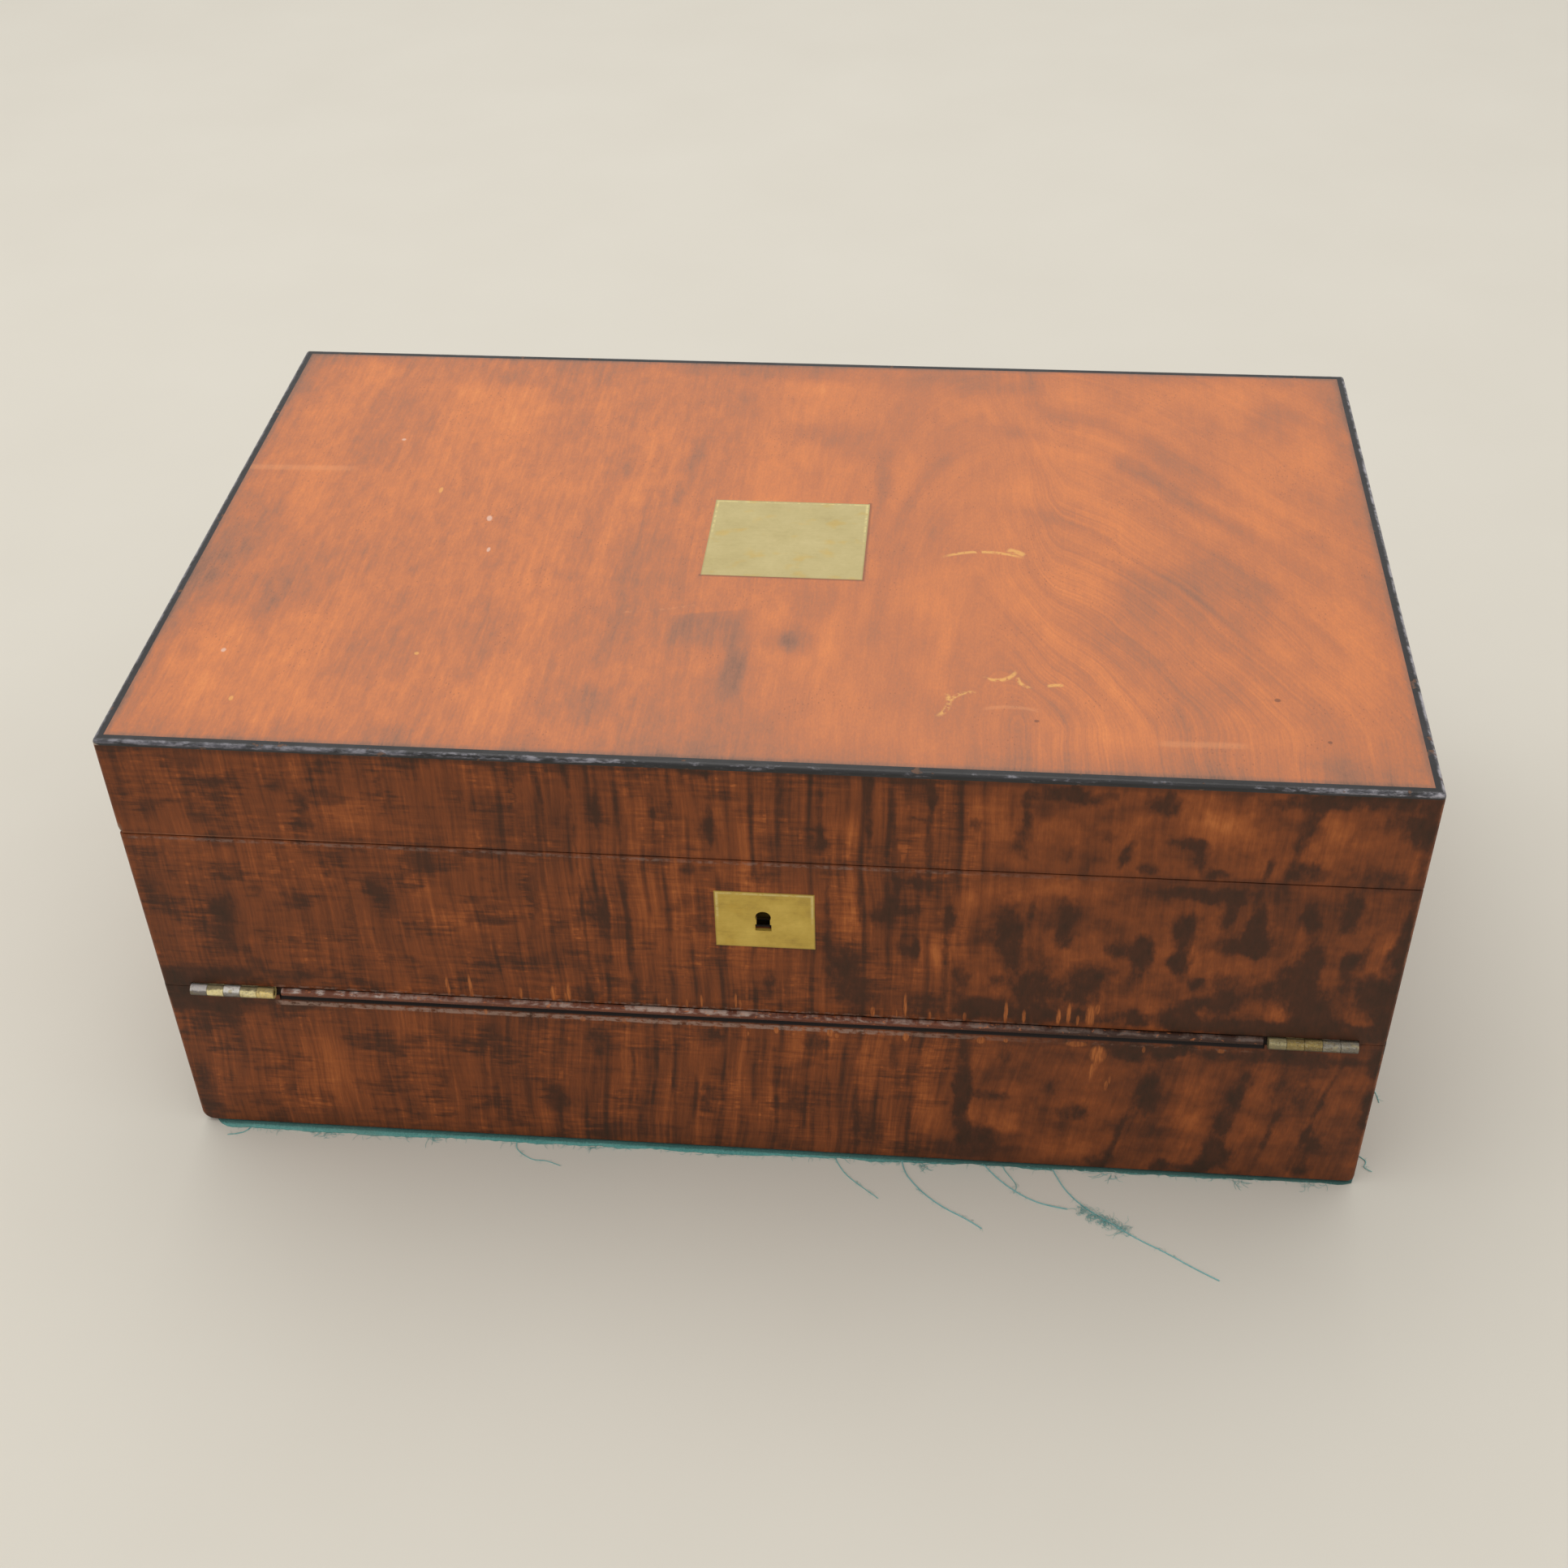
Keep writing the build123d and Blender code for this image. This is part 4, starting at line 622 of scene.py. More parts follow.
    flecks = g.down(0.06, 0.13, fleck) * g.up(0.55, 0.62, g.noise(g.vec(x * 0.05, y * 0.05, 6.0), 1, 2))
    col = g.mix(flecks * 0.32, col, lin(96, 56, 42))

    # painted shadow: a dark line along the plate's right and front sides only
    joint = g.down(0.3, 1.1, g.m("MAXIMUM", abs(x) - 27.2, abs(y + 0.85) - 23.65))
    joint = joint * g.any(g.up(26.4, 26.9, x), g.down(-24.2, -23.8, y))
    col = g.mix(joint * 0.5, col, lin(88, 56, 40))

    # pale scratches and specks
    sc_n = g.noise(g.vec(x * 0.34, y * 0.34, 4.0), 1, 3, 0.7)

    def scratch(cx, cy, half, turn, curve, width, gate):
        c, s = math.cos(math.radians(turn)), math.sin(math.radians(turn))
        a = (x - cx) * c + (y - cy) * s
        b = (y - cy) * c - (x - cx) * s
        d = abs(b - a * a * curve)
        return g.down(width * 0.5, width * 2.2, d + (sc_n - 0.5) * 1.2) * g.down(half * 0.7, half * 1.1, abs(a)) * g.up(gate, gate + 0.14, sc_n)

    bright = g.any(
        scratch(67.0, -5.2, 13.5, 2.0, -0.018, 0.55, 0.38),
        scratch(78.5, -4.6, 3.4, -30.0, -0.04, 0.8, 0.30),
        scratch(57.5, -91.5, 6.0, 78.0, 0.05, 0.6, 0.40),
        scratch(61.0, -85.5, 5.0, 35.0, -0.06, 0.5, 0.40),
        scratch(74.5, -77.0, 5.5, 22.0, 0.09, 0.6, 0.36),
        scratch(80.0, -79.0, 3.4, -52.0, 0.10, 0.5, 0.38),
        scratch(90.5, -79.0, 2.6, 8.0, -0.05, 0.5, 0.36),
    )
    faint = g.any(
        scratch(-182.0, 36.3, 22.0, 1.5, 0.0, 1.2, 0.25),
        scratch(134.0, -106.0, 14.0, 1.0, 0.0, 1.0, 0.25),
        scratch(77.0, -91.0, 9.0, 0.0, -0.02, 0.6, 0.35),
        scratch(-40.0, -46.0, 18.0, 12.0, 0.004, 0.5, 0.48),
        scratch(118.0, 22.0, 26.0, -38.0, 0.003, 0.35, 0.50),
    )
    col = g.mix(faint * 0.26, col, lin(224, 152, 100))
    col = g.mix(bright * 0.80, col, lin(222, 168, 92))
    specks = g.any(
        g.down(0.6, 1.1, g.near(x, y, -105.4, 6.2, 1.1, 2.0, 10.0)),
        g.down(0.6, 1.1, g.near(x, y, -101.8, -13.5, 0.7, 1.6, 0.0)),
        g.down(0.6, 1.1, g.near(x, y, -176.0, -76.5, 0.9, 1.2, 0.0)),
        g.down(0.6, 1.1, g.near(x, y, -148.0, 58.0, 0.9, 0.9, 0.0)),
    )
    col = g.mix(specks * 0.62, col, lin(222, 190, 172))
    tan = g.any(
        g.down(0.6, 1.1, g.near(x, y, -126.5, 23.7, 0.8, 2.2, 0.0)),
        g.down(0.6, 1.1, g.near(x, y, -113.0, -74.5, 0.9, 0.9, 0.0)),
        g.down(0.6, 1.1, g.near(x, y, -166.0, -101.5, 0.8, 1.4, 0.0)),
    )
    col = g.mix(tan * 0.75, col, lin(222, 160, 82))
    dots = g.any(
        g.down(0.6, 1.1, g.near(x, y, 158.4, -82.5, 1.2, 1.0)),
        g.down(0.6, 1.1, g.near(x, y, 84.7, -97.5, 0.9, 0.8)),
        g.down(0.6, 1.1, g.near(x, y, 172.0, -102.5, 0.8, 0.8)),
    )
    col = g.mix(dots * 0.55, col, lin(60, 36, 30))

    # below the veneer the panel is plain wood
    inner, iv = solid_wood(g, x, y, z, 3.0)
    skin = g.up(174.3, 174.34, z)
    col = g.mix(skin, inner, col)
    smear = g.noise(g.vec(x * 0.02, y * 0.03, 1.0), 1, 4, 0.6)
    rough = g.lerp(skin, 0.6, 0.30 + smear * 0.20 + g.up(0.45, 0.7, sc_n) * 0.05 + bright * 0.2)
    h = (pore * 0.018 + hair * 0.02 + smear * 0.25 - bright * 0.05 - flecks * 0.03) * skin
    return g.finish(col, rough, None, g.bump(h, 0.8), Specular_IOR_Level=0.42, Coat_Weight=0.15, Coat_Roughness=0.3)


def plain_wood(name, axis, seed, tone=0.0, rough=0.5):
    g = Net(name)
    x, y, z = g.place()
    along, a, b = {"x": (x, y, z), "y": (y, x, z), "z": (z, x, y)}[axis]
    col, v = solid_wood(g, along, a, b, seed, tone)
    # handling marks, ink and dust
    mark = g.noise(g.vec(x * 0.05, y * 0.05, z * 0.05 + seed), 1, 4, 0.65)
    col = g.mix(g.up(0.56, 0.75, mark) * 0.35, col, lin(44, 26, 22))
    r = rough + (mark - 0.5) * 0.25
    h = v * 0.05 + mark * 0.08
    return g.finish(col, r, None, g.bump(h, 0.7), Specular_IOR_Level=0.4)


def pine_wood():
    g = Net("pine")
    x, y, z = g.place()
    wav = g.noise(g.vec(x * 0.008, y * 0.02, z * 0.02), 1, 2) - 0.5
    yy = y + wav * 30
    ring = g.noise(g.vec(x * 0.003, yy * 0.16, z * 0.16), 1, 3, 0.55)
    fib = g.noise(g.vec(x * 0.10, y * 2.0, z * 2.0), 1, 2, 0.6)
    dirt = g.noise(g.vec(x * 0.02, y * 0.02, z * 0.02), 1, 4, 0.6)
    v = ring * 0.7 + fib * 0.25 + dirt * 0.2
    col = g.ramp(v, [(0.35, lin(190, 150, 104)), (0.55, lin(170, 126, 82)), (0.75, lin(134, 92, 58))])
    col = g.mix(g.up(0.50, 0.72, dirt) * 0.5, col, lin(96, 72, 52))
    return g.finish(col, 0.68, None, g.bump(v * 0.08, 0.7), Specular_IOR_Level=0.3)


def bead_wood():
    """Rounded strip between the front hinges: red-brown, the polish rubbed off its crown, which also carries a painted
    highlight.
    """
    g = Net("mahogany_bead")
    x, y, z = g.place()
    n = g.noise(g.vec(x * 0.05, y * 1.2, z * 1.2), 1, 3, 0.6)
    chip = g.noise(g.vec(x * 0.34, y * 0.9, z * 0.9), 1, 4, 0.72)
    runs = g.noise(g.vec(x * 0.045, 3.0, 8.0), 1, 2, 0.6)
    col = g.ramp(n * 0.6 + chip * 0.3, [(0.25, lin(126, 70, 46)), (0.45, lin(100, 54, 36)), (0.70, lin(60, 36, 26))])
    # pinkish where it is rubbed, left of the middle; nearly black at the right end
    col = g.mix(g.blots(g.vec(x, z, 0.0), [(-112, 70, 34, 6, 1), (-150, 70, 14, 6, .9), (-38, 70, 24, 6, .5)], 0.2, 1.3) * 0.35, col, lin(122, 78, 60))
    col = g.mix(g.up(40.0, 110.0, x + (runs - 0.5) * 60) * 0.85, col, lin(46, 31, 24))
    fleck = g.noise(g.vec(x * 0.22, z * 0.6, 12.0), 1, 3, 0.7)
    # pale crown: the polish rubbed off, and a painted highlight along the top
    crown = g.up(69.7, 70.5, z + (chip - 0.5) * 1.6) * g.up(0.44, 0.58, fleck * 0.6 + runs * 0.4)
    much = g.lerp(g.up(10.0, 90.0, x), g.lerp(g.up(-90.0, -66.0, x), 0.42, 0.80), 0.22)
    col = g.mix(crown * much, col, lin(182, 160, 148))
    # bright worn spots along the crown near the left hinge: wear with a painted highlight
    dots = g.down(0.10, 0.34, V(g, g.cells1(x * (1 / 6.4) + 2.0).outputs["Distance"]) + (chip - 0.5) * 0.5) * g.up(69.8, 70.4, z + (n - 0.5)) * g.down(-128.0, -108.0, x)
    col = g.mix(dots * g.up(0.42, 0.56, chip) * 0.7, col, lin(206, 192, 184))
    bare = g.up(0.61, 0.67, g.noise(g.vec(x * 0.5, y, z), 1, 3, 0.6)) * g.up(68.9, 69.6, z)
    col = g.mix(bare * 0.7, col, lin(182, 108, 62))
    # painted shade on its underside, down in the hollow
    col = g.mix(g.down(68.3, 69.0, z) * 0.9, col, lin(26, 17, 14))
    return g.finish(col, 0.42 + chip * 0.2, None, g.bump(chip * 0.30 + n * 0.1, 0.8), Specular_IOR_Level=0.28)


def ebonised():
    """Blackened edging: hard and glossy, the black rubbed and chipped along the arris, where a painted highlight runs.
    """
    g = Net("ebonised_edging")
    x, y, z = g.place()
    n = g.noise(g.vec(x * 0.10, y * 0.10, z * 0.6), 1, 4, 0.7)
    f = g.noise(g.vec(x * 0.26, y * 0.26, z * 1.0), 1, 3.5, 0.68)
    grey = g.noise(g.vec(x * 0.035, y * 0.035, 3.0), 1, 3, 0.6)
    col = g.ramp(n * 0.6 + grey * 0.4, [(0.30, lin(16, 15, 16)), (0.50, lin(26, 25, 27)), (0.70, lin(46, 44, 48))])
    # the arris is rubbed to a lilac grey and carries a painted highlight: most at the left and at the far right of the
    # front
    out = g.any(abs(x) - 78.0, abs(y))
    arris = g.up(123.5, 124.5, out + (f - 0.5) * 0.8) * g.up(173.7, 174.5, z + (n - 0.5) * 0.8)
    far = g.up(165.0, 196.0, x)
    much = g.any(g.down(-120.0, 0.0, x), g.up(150.0, 190.0, x)) * 0.11 - g.up(20.0, 50.0, x) * g.down(130.0, 160.0, x) * 0.045
    arris_wear_highlight = arris * g.up(0.50, 0.62, n * 0.5 + f * 0.35 + grey * 0.15 + much)
    col = g.mix(arris_wear_highlight * 0.64, col, g.mix(g.up(0.4, 0.65, f), lin(86, 85, 93), g.mix(far, lin(150, 147, 156), lin(204, 200, 208))))
    chip = g.up(0.645, 0.68, g.noise(g.vec(x * 0.11, y * 0.11, z * 0.3 + 9.0), 1, 3, 0.7))
    col = g.mix(chip * 0.7, col, lin(110, 78, 58))
    corner = g.down(0.3, 1.0, g.near(x, z, -203.0, 173.4, 2.6, 1.0)) * g.down(-124.0, -121.0, y)
    col = g.mix(corner * 0.8, col, lin(180, 160, 144))
    h = n * 0.26 + f * 0.08 - chip * 0.2 - arris_wear_highlight * 0.05
    return g.finish(col, 0.28 + f * 0.22 + chip * 0.3, None, g.bump(h, 0.9), Specular_IOR_Level=0.42, Coat_Weight=0.10, Coat_Roughness=0.15)


# ---------------------------------------------------------------------------
# Metal, glass and cloth
# ---------------------------------------------------------------------------
def brass(name, light, mid, dark, rough, brush=None, edge=None, seed=0.0, metal=0.86, cloudy=1.0):
    g = Net(name)
    x, y, z = g.place()
    tarn = g.noise(g.vec(x * 0.07, y * 0.07, z * 0.07 + seed), 1, 4, 0.6)
    spot = g.noise(g.vec(x * 0.6, y * 0.6, z * 0.6 + seed), 1, 3, 0.65)
    v = tarn * 0.8 + spot * 0.3
    h = spot * 0.03
    r = rough + (tarn - 0.5) * 0.3
    if not brush:
        col = g.ramp(v, [(0.35, light), (0.55, mid), (0.80, dark)])
        return g.finish(col, r, metal, g.bump(h, 0.7), Specular_IOR_Level=0.5)
    a, b = {"x": (x, y), "z": (x, z)}[brush]
    # fine level brushing, and broad smears where it was last wiped
    lines = g.noise(g.vec(a * 0.06, b * 3.2, seed), 1, 3, 0.7)
    smear = g.noise(g.vec(a * 0.10, b * 0.12, seed + 6.0), 1, 2, 0.5)
    scr = g.noise(g.vec((a + b * 0.7) * 0.06, (b - a * 0.7) * 3.0, seed + 2.0), 1, 2, 0.6)
    v = 0.48 + (tarn - 0.5) * 0.62 * cloudy + (spot - 0.5) * 0.22 + (lines - 0.5) * 0.26 + (smear - 0.5) * 0.62 * cloudy
    col = g.ramp(v, [(0.25, light), (0.52, mid), (0.85, dark)])
    scratch = g.up(0.64, 0.71, scr)
    col = g.mix(scratch * 0.18, col, dark)
    # warm stains
    col = g.mix(g.up(0.56, 0.70, g.noise(g.vec(a * 0.11, b * 0.14, seed + 9.0), 1, 2, 0.5)) * 0.35, col, lin(196, 158, 60))
    h = h + lines * 0.02 - scratch * 0.015
    if edge:
        # grime in the joint round the plate, and inside it a pale rim on the plate's upper half: rubbed brass with a
        # painted highlight
        cx, cz, hx, hz = edge
        inside = g.m("MINIMUM", hx - abs(a - cx), hz - abs(b - cz))
        col = g.mix(g.down(0.10, 0.60, inside) * 0.50, col, dark)
        rim = g.up(0.3, 0.6, inside) * g.down(0.8, 1.6, inside) * g.up(0.42, 0.56, spot * 0.5 + tarn * 0.5)
        # the rim keeps to the upper half, where the painted highlight falls
        rim = rim * g.up(-0.4, 0.4, (b - cz) * (1 / hz))
        col = g.mix(rim * 0.55, col, lin(230, 214, 150))
    return g.finish(col, r, metal, g.bump(h, 0.7), Specular_IOR_Level=0.5)


def knuckles(name, tints, high=None):
    """Hinge brass, corroded differently on each knuckle. tints gives (colour, position) along x;
    high says where the bright side of a knuckle faces up (1) or down (0); the other half gets painted shade."""
    g = Net(name)
    x, y, z = g.place()
    n = g.noise(g.vec(x * 0.45, y * 0.7, z * 0.7), 1, 4, 0.7)
    b = g.noise(g.vec(x * 0.34, y * 0.5, z * 0.5 + 7.0), 1, 3, 0.65)
    f = g.noise(g.vec(x * 2.0, y * 2.0, z * 2.0), 1, 3, 0.7)
    col = g.ramp((x + (b - 0.5) * 5.0) * (1 / 420.0) + 0.5, tints, "CONSTANT")
    # patches of other tints, dark pits, pale rubs
    dull = g.up(-20.0, 20.0, x) if high is not None else 0.0
    col = g.mix(g.up(0.50, 0.62, b) * (0.55 - dull * 0.2), col, lin(196, 176, 116))
    col = g.mix(g.up(0.50, 0.66, n) * (0.40 + dull * 0.3), col, lin(112, 94, 60))
    col = g.mix(g.up(0.54, 0.64, f) * (0.5 - dull * 0.2), col, lin(222, 214, 192))
    if high is not None:
        hi = g.ramp((x + (n - 0.5) * 4.0) * (1 / 420.0) + 0.5, high, "CONSTANT")
        # height on the barrel's outer face, from its foot (-2) to its head (2)
        q = (y + 126.0) * 0.72 + (z - 69.05) * 0.69
        qq = q + (n - 0.5) * (1.7 + dull * 2.2) + (f - 0.5) * 0.7
        # painted shade on the upper or lower half of each barrel
        barrel_painted_shade = g.lerp(hi, g.up(-0.2, 0.5, qq), g.down(-0.9, -0.2, qq))
        barrel_painted_shade = barrel_painted_shade * g.down(-125.1, -124.6, y)
        col = g.mix(barrel_painted_shade * 0.70, col, lin(60, 47, 34))
        # darker round the foot and the head of the barrel, against the wood
        rim = g.any(g.up(1.25, 1.75, q), g.down(-1.9, -1.5, q)) * g.down(-125.1, -124.6, y)
        col = g.mix(rim * 0.6, col, lin(46, 34, 26))
    return g.finish(col, 0.40 + n * 0.35, 0.30, g.bump(n * 0.40 + f * 0.16, 1.0), Specular_IOR_Level=0.5)


def iron():
    g = Net("lock_iron")
    x, y, z = g.place()
    n = g.noise(g.p, 0.12, 5, 0.65)
    f = g.noise(g.p, 1.4, 3, 0.65)
    col = g.ramp(n, [(0.35, lin(120, 118, 116)), (0.55, lin(88, 82, 78)), (0.70, lin(96, 60, 42))])
    return g.finish(col, 0.36 + f * 0.3, 0.8, g.bump(f * 0.05 + n * 0.1, 0.7))


def glass():
    g = Net("ink_glass")
    x, y, z = g.place()
    n = g.noise(g.p, 0.09, 3, 0.6)
    grime = g.noise(g.p, 0.5, 4, 0.7)
    low = g.down(78.5, 84.0, z + (n - 0.5) * 7)
    col = g.mix(low * 0.55, lin(226, 236, 232), lin(60, 66, 96))
    r = 0.03 + g.up(0.5, 0.8, grime) * 0.22 + low * 0.2
    return g.finish(col, r, None, g.bump(n * 0.5 + grime * 0.02, 0.35), Transmission_Weight=1.0, IOR=1.5)


def felt(name, light, mid, dark, seed=0.0, soil=0.5, ink=0.0, sole=False):
    """Woollen baize: matted fibres, rubbed thin in places, soiled."""
    g = Net(name)
    x, y, z = g.place()
    fib = g.noise(g.vec(x * 2.4, y * 2.4, z * 2.4 + seed), 1, 4, 0.7, 0.8)
    weave = g.noise(g.vec(x * 5.0, y * 0.9, z * 0.9 + seed), 1, 2, 0.6)
    weft = g.noise(g.vec(x * 0.9, y * 5.0, z * 0.9 + seed + 4.0), 1, 2, 0.6)
    rub = g.noise(g.vec(x * 0.018, y * 0.018, z * 0.018 + seed), 1, 4, 0.6)
    v = fib * 0.45 + (weave + weft) * 0.20 + rub * 0.30
    col = g.ramp(v, [(0.35, dark), (0.52, mid), (0.72, light)])
    col = g.mix(g.up(0.50, 0.72, rub) * soil * 0.6, col, lin(96, 92, 74))
    if ink:
        blot = g.noise(g.vec(x * 0.045, y * 0.045, z * 0.045 + seed + 8.0), 1, 4, 0.6)
        col = g.mix(g.up(0.655, 0.675, blot) * ink, col, lin(22, 24, 38))
    if sole:
        # painted shade right under the wood; greyed along its free edge
        e = g.any(abs(x) - 78.0, abs(y)) + (fib - 0.5) * 0.9
        col = g.mix(g.down(125.3, 126.2, e) * 0.62, col, lin(30, 62, 57))
        col = g.mix(g.up(127.0, 128.0, e) * 0.44, col, lin(134, 139, 130))
        # darker toward the right of the front
        col = g.mix(g.up(0.0, 70.0, x) * g.down(-112.0, -108.0, y) * (0.75 - rub * 0.5), col, lin(58, 82, 76))
    h = fib * 0.22 + (weave + weft) * 0.09
    return g.finish(col, 0.95, None, g.bump(h, 0.9), Specular_IOR_Level=0.15, Sheen_Weight=0.25, Sheen_Roughness=0.5)


# ---------------------------------------------------------------------------
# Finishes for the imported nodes
# ---------------------------------------------------------------------------
M = {}
for side in ("front", "back", "left", "right"):
    M[side] = wall("veneer_" + side, side)
M["top"] = top_veneer()
M["in_x"] = plain_wood("mahogany_inside_x", "x", 0.0)
M["in_y"] = plain_wood("mahogany_inside_y", "y", 5.0)
M["leaf"] = plain_wood("mahogany_leaf", "x", 9.0, -0.04, 0.42)
M["tray"] = plain_wood("mahogany_tray", "x", 14.0, 0.04, 0.45)
M["pine"] = pine_wood()
M["bead"] = bead_wood()
M["black"] = ebonised()
M["plate"] = brass("brass_lid_plate", lin(196, 181, 130), lin(182, 167, 116), lin(158, 140, 92), 0.52, "x", (0.0, -0.85, 27.2, 23.65), 1.0, 0.35, 0.55)
M["escutcheon"] = brass("brass_escutcheon", lin(214, 184, 90), lin(194, 163, 72), lin(140, 113, 50), 0.46, "z", (2.45, 112.55, 15.95, 11.85), 5.0, 0.40)
M["lockbrass"] = brass("brass_lock", lin(214, 182, 104), lin(184, 150, 74), lin(112, 86, 44), 0.36, None, None, 9.0)
M["smallbrass"] = brass("brass_small", lin(190, 164, 98), lin(150, 124, 68), lin(86, 66, 40), 0.42, None, None, 12.0)
M["caps"] = brass("inkwell_brass", lin(224, 190, 104), lin(192, 156, 76), lin(120, 90, 44), 0.30, None, None, 17.0)
SILVER, PALE, YELLOW, GOLD = lin(190, 184, 182), lin(226, 222, 216), lin(238, 222, 164), lin(244, 216, 138)
DULL_CREAM, DULL_PALE, DULL_YELLOW = lin(166, 155, 114), lin(146, 140, 127), lin(154, 132, 74)


def along(x):
    return x / 420.0 + 0.5


K = 28.6 / 5
M["knuckle_base"] = knuckles("brass_hinge_base", [(0.0, SILVER), (along(-193 + 1.5 * K), PALE), (along(-193 + 3.5 * K), GOLD), (along(0), DULL_CREAM), (along(165.2 + 1.5 * K), DULL_YELLOW), (along(165.2 + 3.5 * K), DULL_PALE)],
                             [(0.0, 1.0), (along(-193 + 3.5 * K), 0.25), (along(0), 0.65)])
M["knuckle_flap"] = knuckles("brass_hinge_flap", [(0.0, YELLOW), (along(-193 + 2.5 * K), YELLOW), (along(0), DULL_YELLOW), (along(165.2 + 2.5 * K), DULL_PALE)],
                             [(0.0, 0.0), (along(0), 0.45)])
M["knuckle_back"] = knuckles("brass_hinge_back", [(0.0, YELLOW), (0.5, GOLD)])
M["iron"] = iron()
M["glass"] = glass()
TEAL = (lin(130, 190, 184), lin(86, 152, 147), lin(42, 98, 96))
M["sole"] = felt("baize_sole", *TEAL, 0.0, 0.5, 0.0, True)
M["fuzz"] = felt("baize_fuzz", lin(152, 208, 204), lin(112, 180, 178), lin(66, 134, 134), 30.0, 0.2)
M["yarn"] = felt("baize_yarn", lin(158, 206, 206), lin(122, 180, 180), lin(82, 140, 142), 33.0, 0.12)
M["leafcloth"] = felt("baize_leaf", lin(64, 112, 88), lin(34, 78, 60), lin(16, 44, 36), 6.0, 0.7, 0.9)
M["leafcloth_low"] = felt("baize_leaf_lower", lin(64, 112, 88), lin(34, 78, 60), lin(16, 44, 36), 41.0, 0.8, 0.9)
M["lining"] = felt("lining_cloth", lin(58, 100, 84), lin(36, 72, 60), lin(20, 44, 38), 16.0, 0.5)

FINISH = {
    "front": ["base_front_wall", "flap_front_wall", "lid_front_rail"],
    "back": ["base_back_wall", "lid_back_rail"],
    "left": ["base_left_wall", "flap_left_wall", "lid_left_rail"],
    "right": ["base_right_wall", "flap_right_wall", "lid_right_rail"],
    "top": ["lid_top_panel"],
    "in_x": ["flap_rear_rail", "flap_top_panel", "ink_shelf", "slope_riser", "rack_front_board"],
    "in_y": ["rack_dividers", "inkwell_dividers", "pen_tray_rests"],
    "leaf": ["upper_writing_leaf", "lower_writing_leaf"],
    "tray": ["pen_tray"],
    "pine": ["base_bottom_board", "upper_leaf_bearers", "lower_leaf_bearers"],
    "bead": ["front_joint_bead"],
    "black": ["lid_edging"],
    "plate": ["lid_plate"],
    "escutcheon": ["escutcheon"],
    "lockbrass": ["lock_plate", "link_plate"],
    "smallbrass": ["base_hinge_screws", "front_hinge_flap_screws", "hinge_pins", "lid_screws", "lock_screws"],
    "caps": ["inkwell_left_cap", "inkwell_right_cap", "inkwell_left_collar", "inkwell_right_collar"],
    "knuckle_base": ["front_hinge_base_leaves"],
    "knuckle_flap": ["front_hinge_flap_leaves"],
    "knuckle_back": ["back_hinge_base_leaves", "back_hinge_lid_leaves"],
    "iron": ["lock_bolt", "lock_case", "lock_lever", "lock_pins", "lock_spring"],
    "glass": ["inkwell_left_bottle", "inkwell_right_bottle"],
}
for key, names in FINISH.items():
    for n in names:
        o = NODES[n]
        if not o.material_slots:
            o.data.materials.append(M[key])
        for s in o.material_slots:
            s.material = M[key]

# the inside boards have their arrises eased
for n in ("flap_rear_rail", "flap_top_panel", "ink_shelf", "slope_riser", "rack_front_board", "rack_dividers",
          "inkwell_dividers", "pen_tray_rests", "upper_writing_leaf", "lower_writing_leaf"):
    o = NODES[n]
    w = o.modifiers.new("weld", "WELD")
    w.merge_threshold = 0.00001
    b = o.modifiers.new("ease", "BEVEL")
    b.width = 0.00035
    b.segments = 2
    b.limit_method = "ANGLE"
    b.angle_limit = math.radians(50)
    b.harden_normals = False


# ---------------------------------------------------------------------------
# Cloth
# ---------------------------------------------------------------------------
def mesh_object(name, verts, faces, mat, smooth=True):
    me = bpy.data.meshes.new(name)
    me.from_pydata(verts, [], faces)
    me.materials.append(mat)
    if smooth:
        me.polygons.foreach_set("use_smooth", [True] * len(me.polygons))
    me.update()
    o = bpy.data.objects.new(name, me)
    scene.collection.objects.link(o)
    return o


def steps(a, b, edge, fine, coarse):
    """Grid lines from a to b: fine within edge of the ends, coarse between."""
    n = max(1, round(edge / fine))
    k = max(1, round((b - a - 2 * edge) / coarse))
    left = [a + edge * i / n for i in range(n)]
    mid = [a + edge + (b - a - 2 * edge) * i / k for i in range(k + 1)]
    right = [b - edge + edge * (i + 1) / n for i in range(n)]
    return left + mid + right


def wave(*p):
    return mnoise.noise(Vector(p))


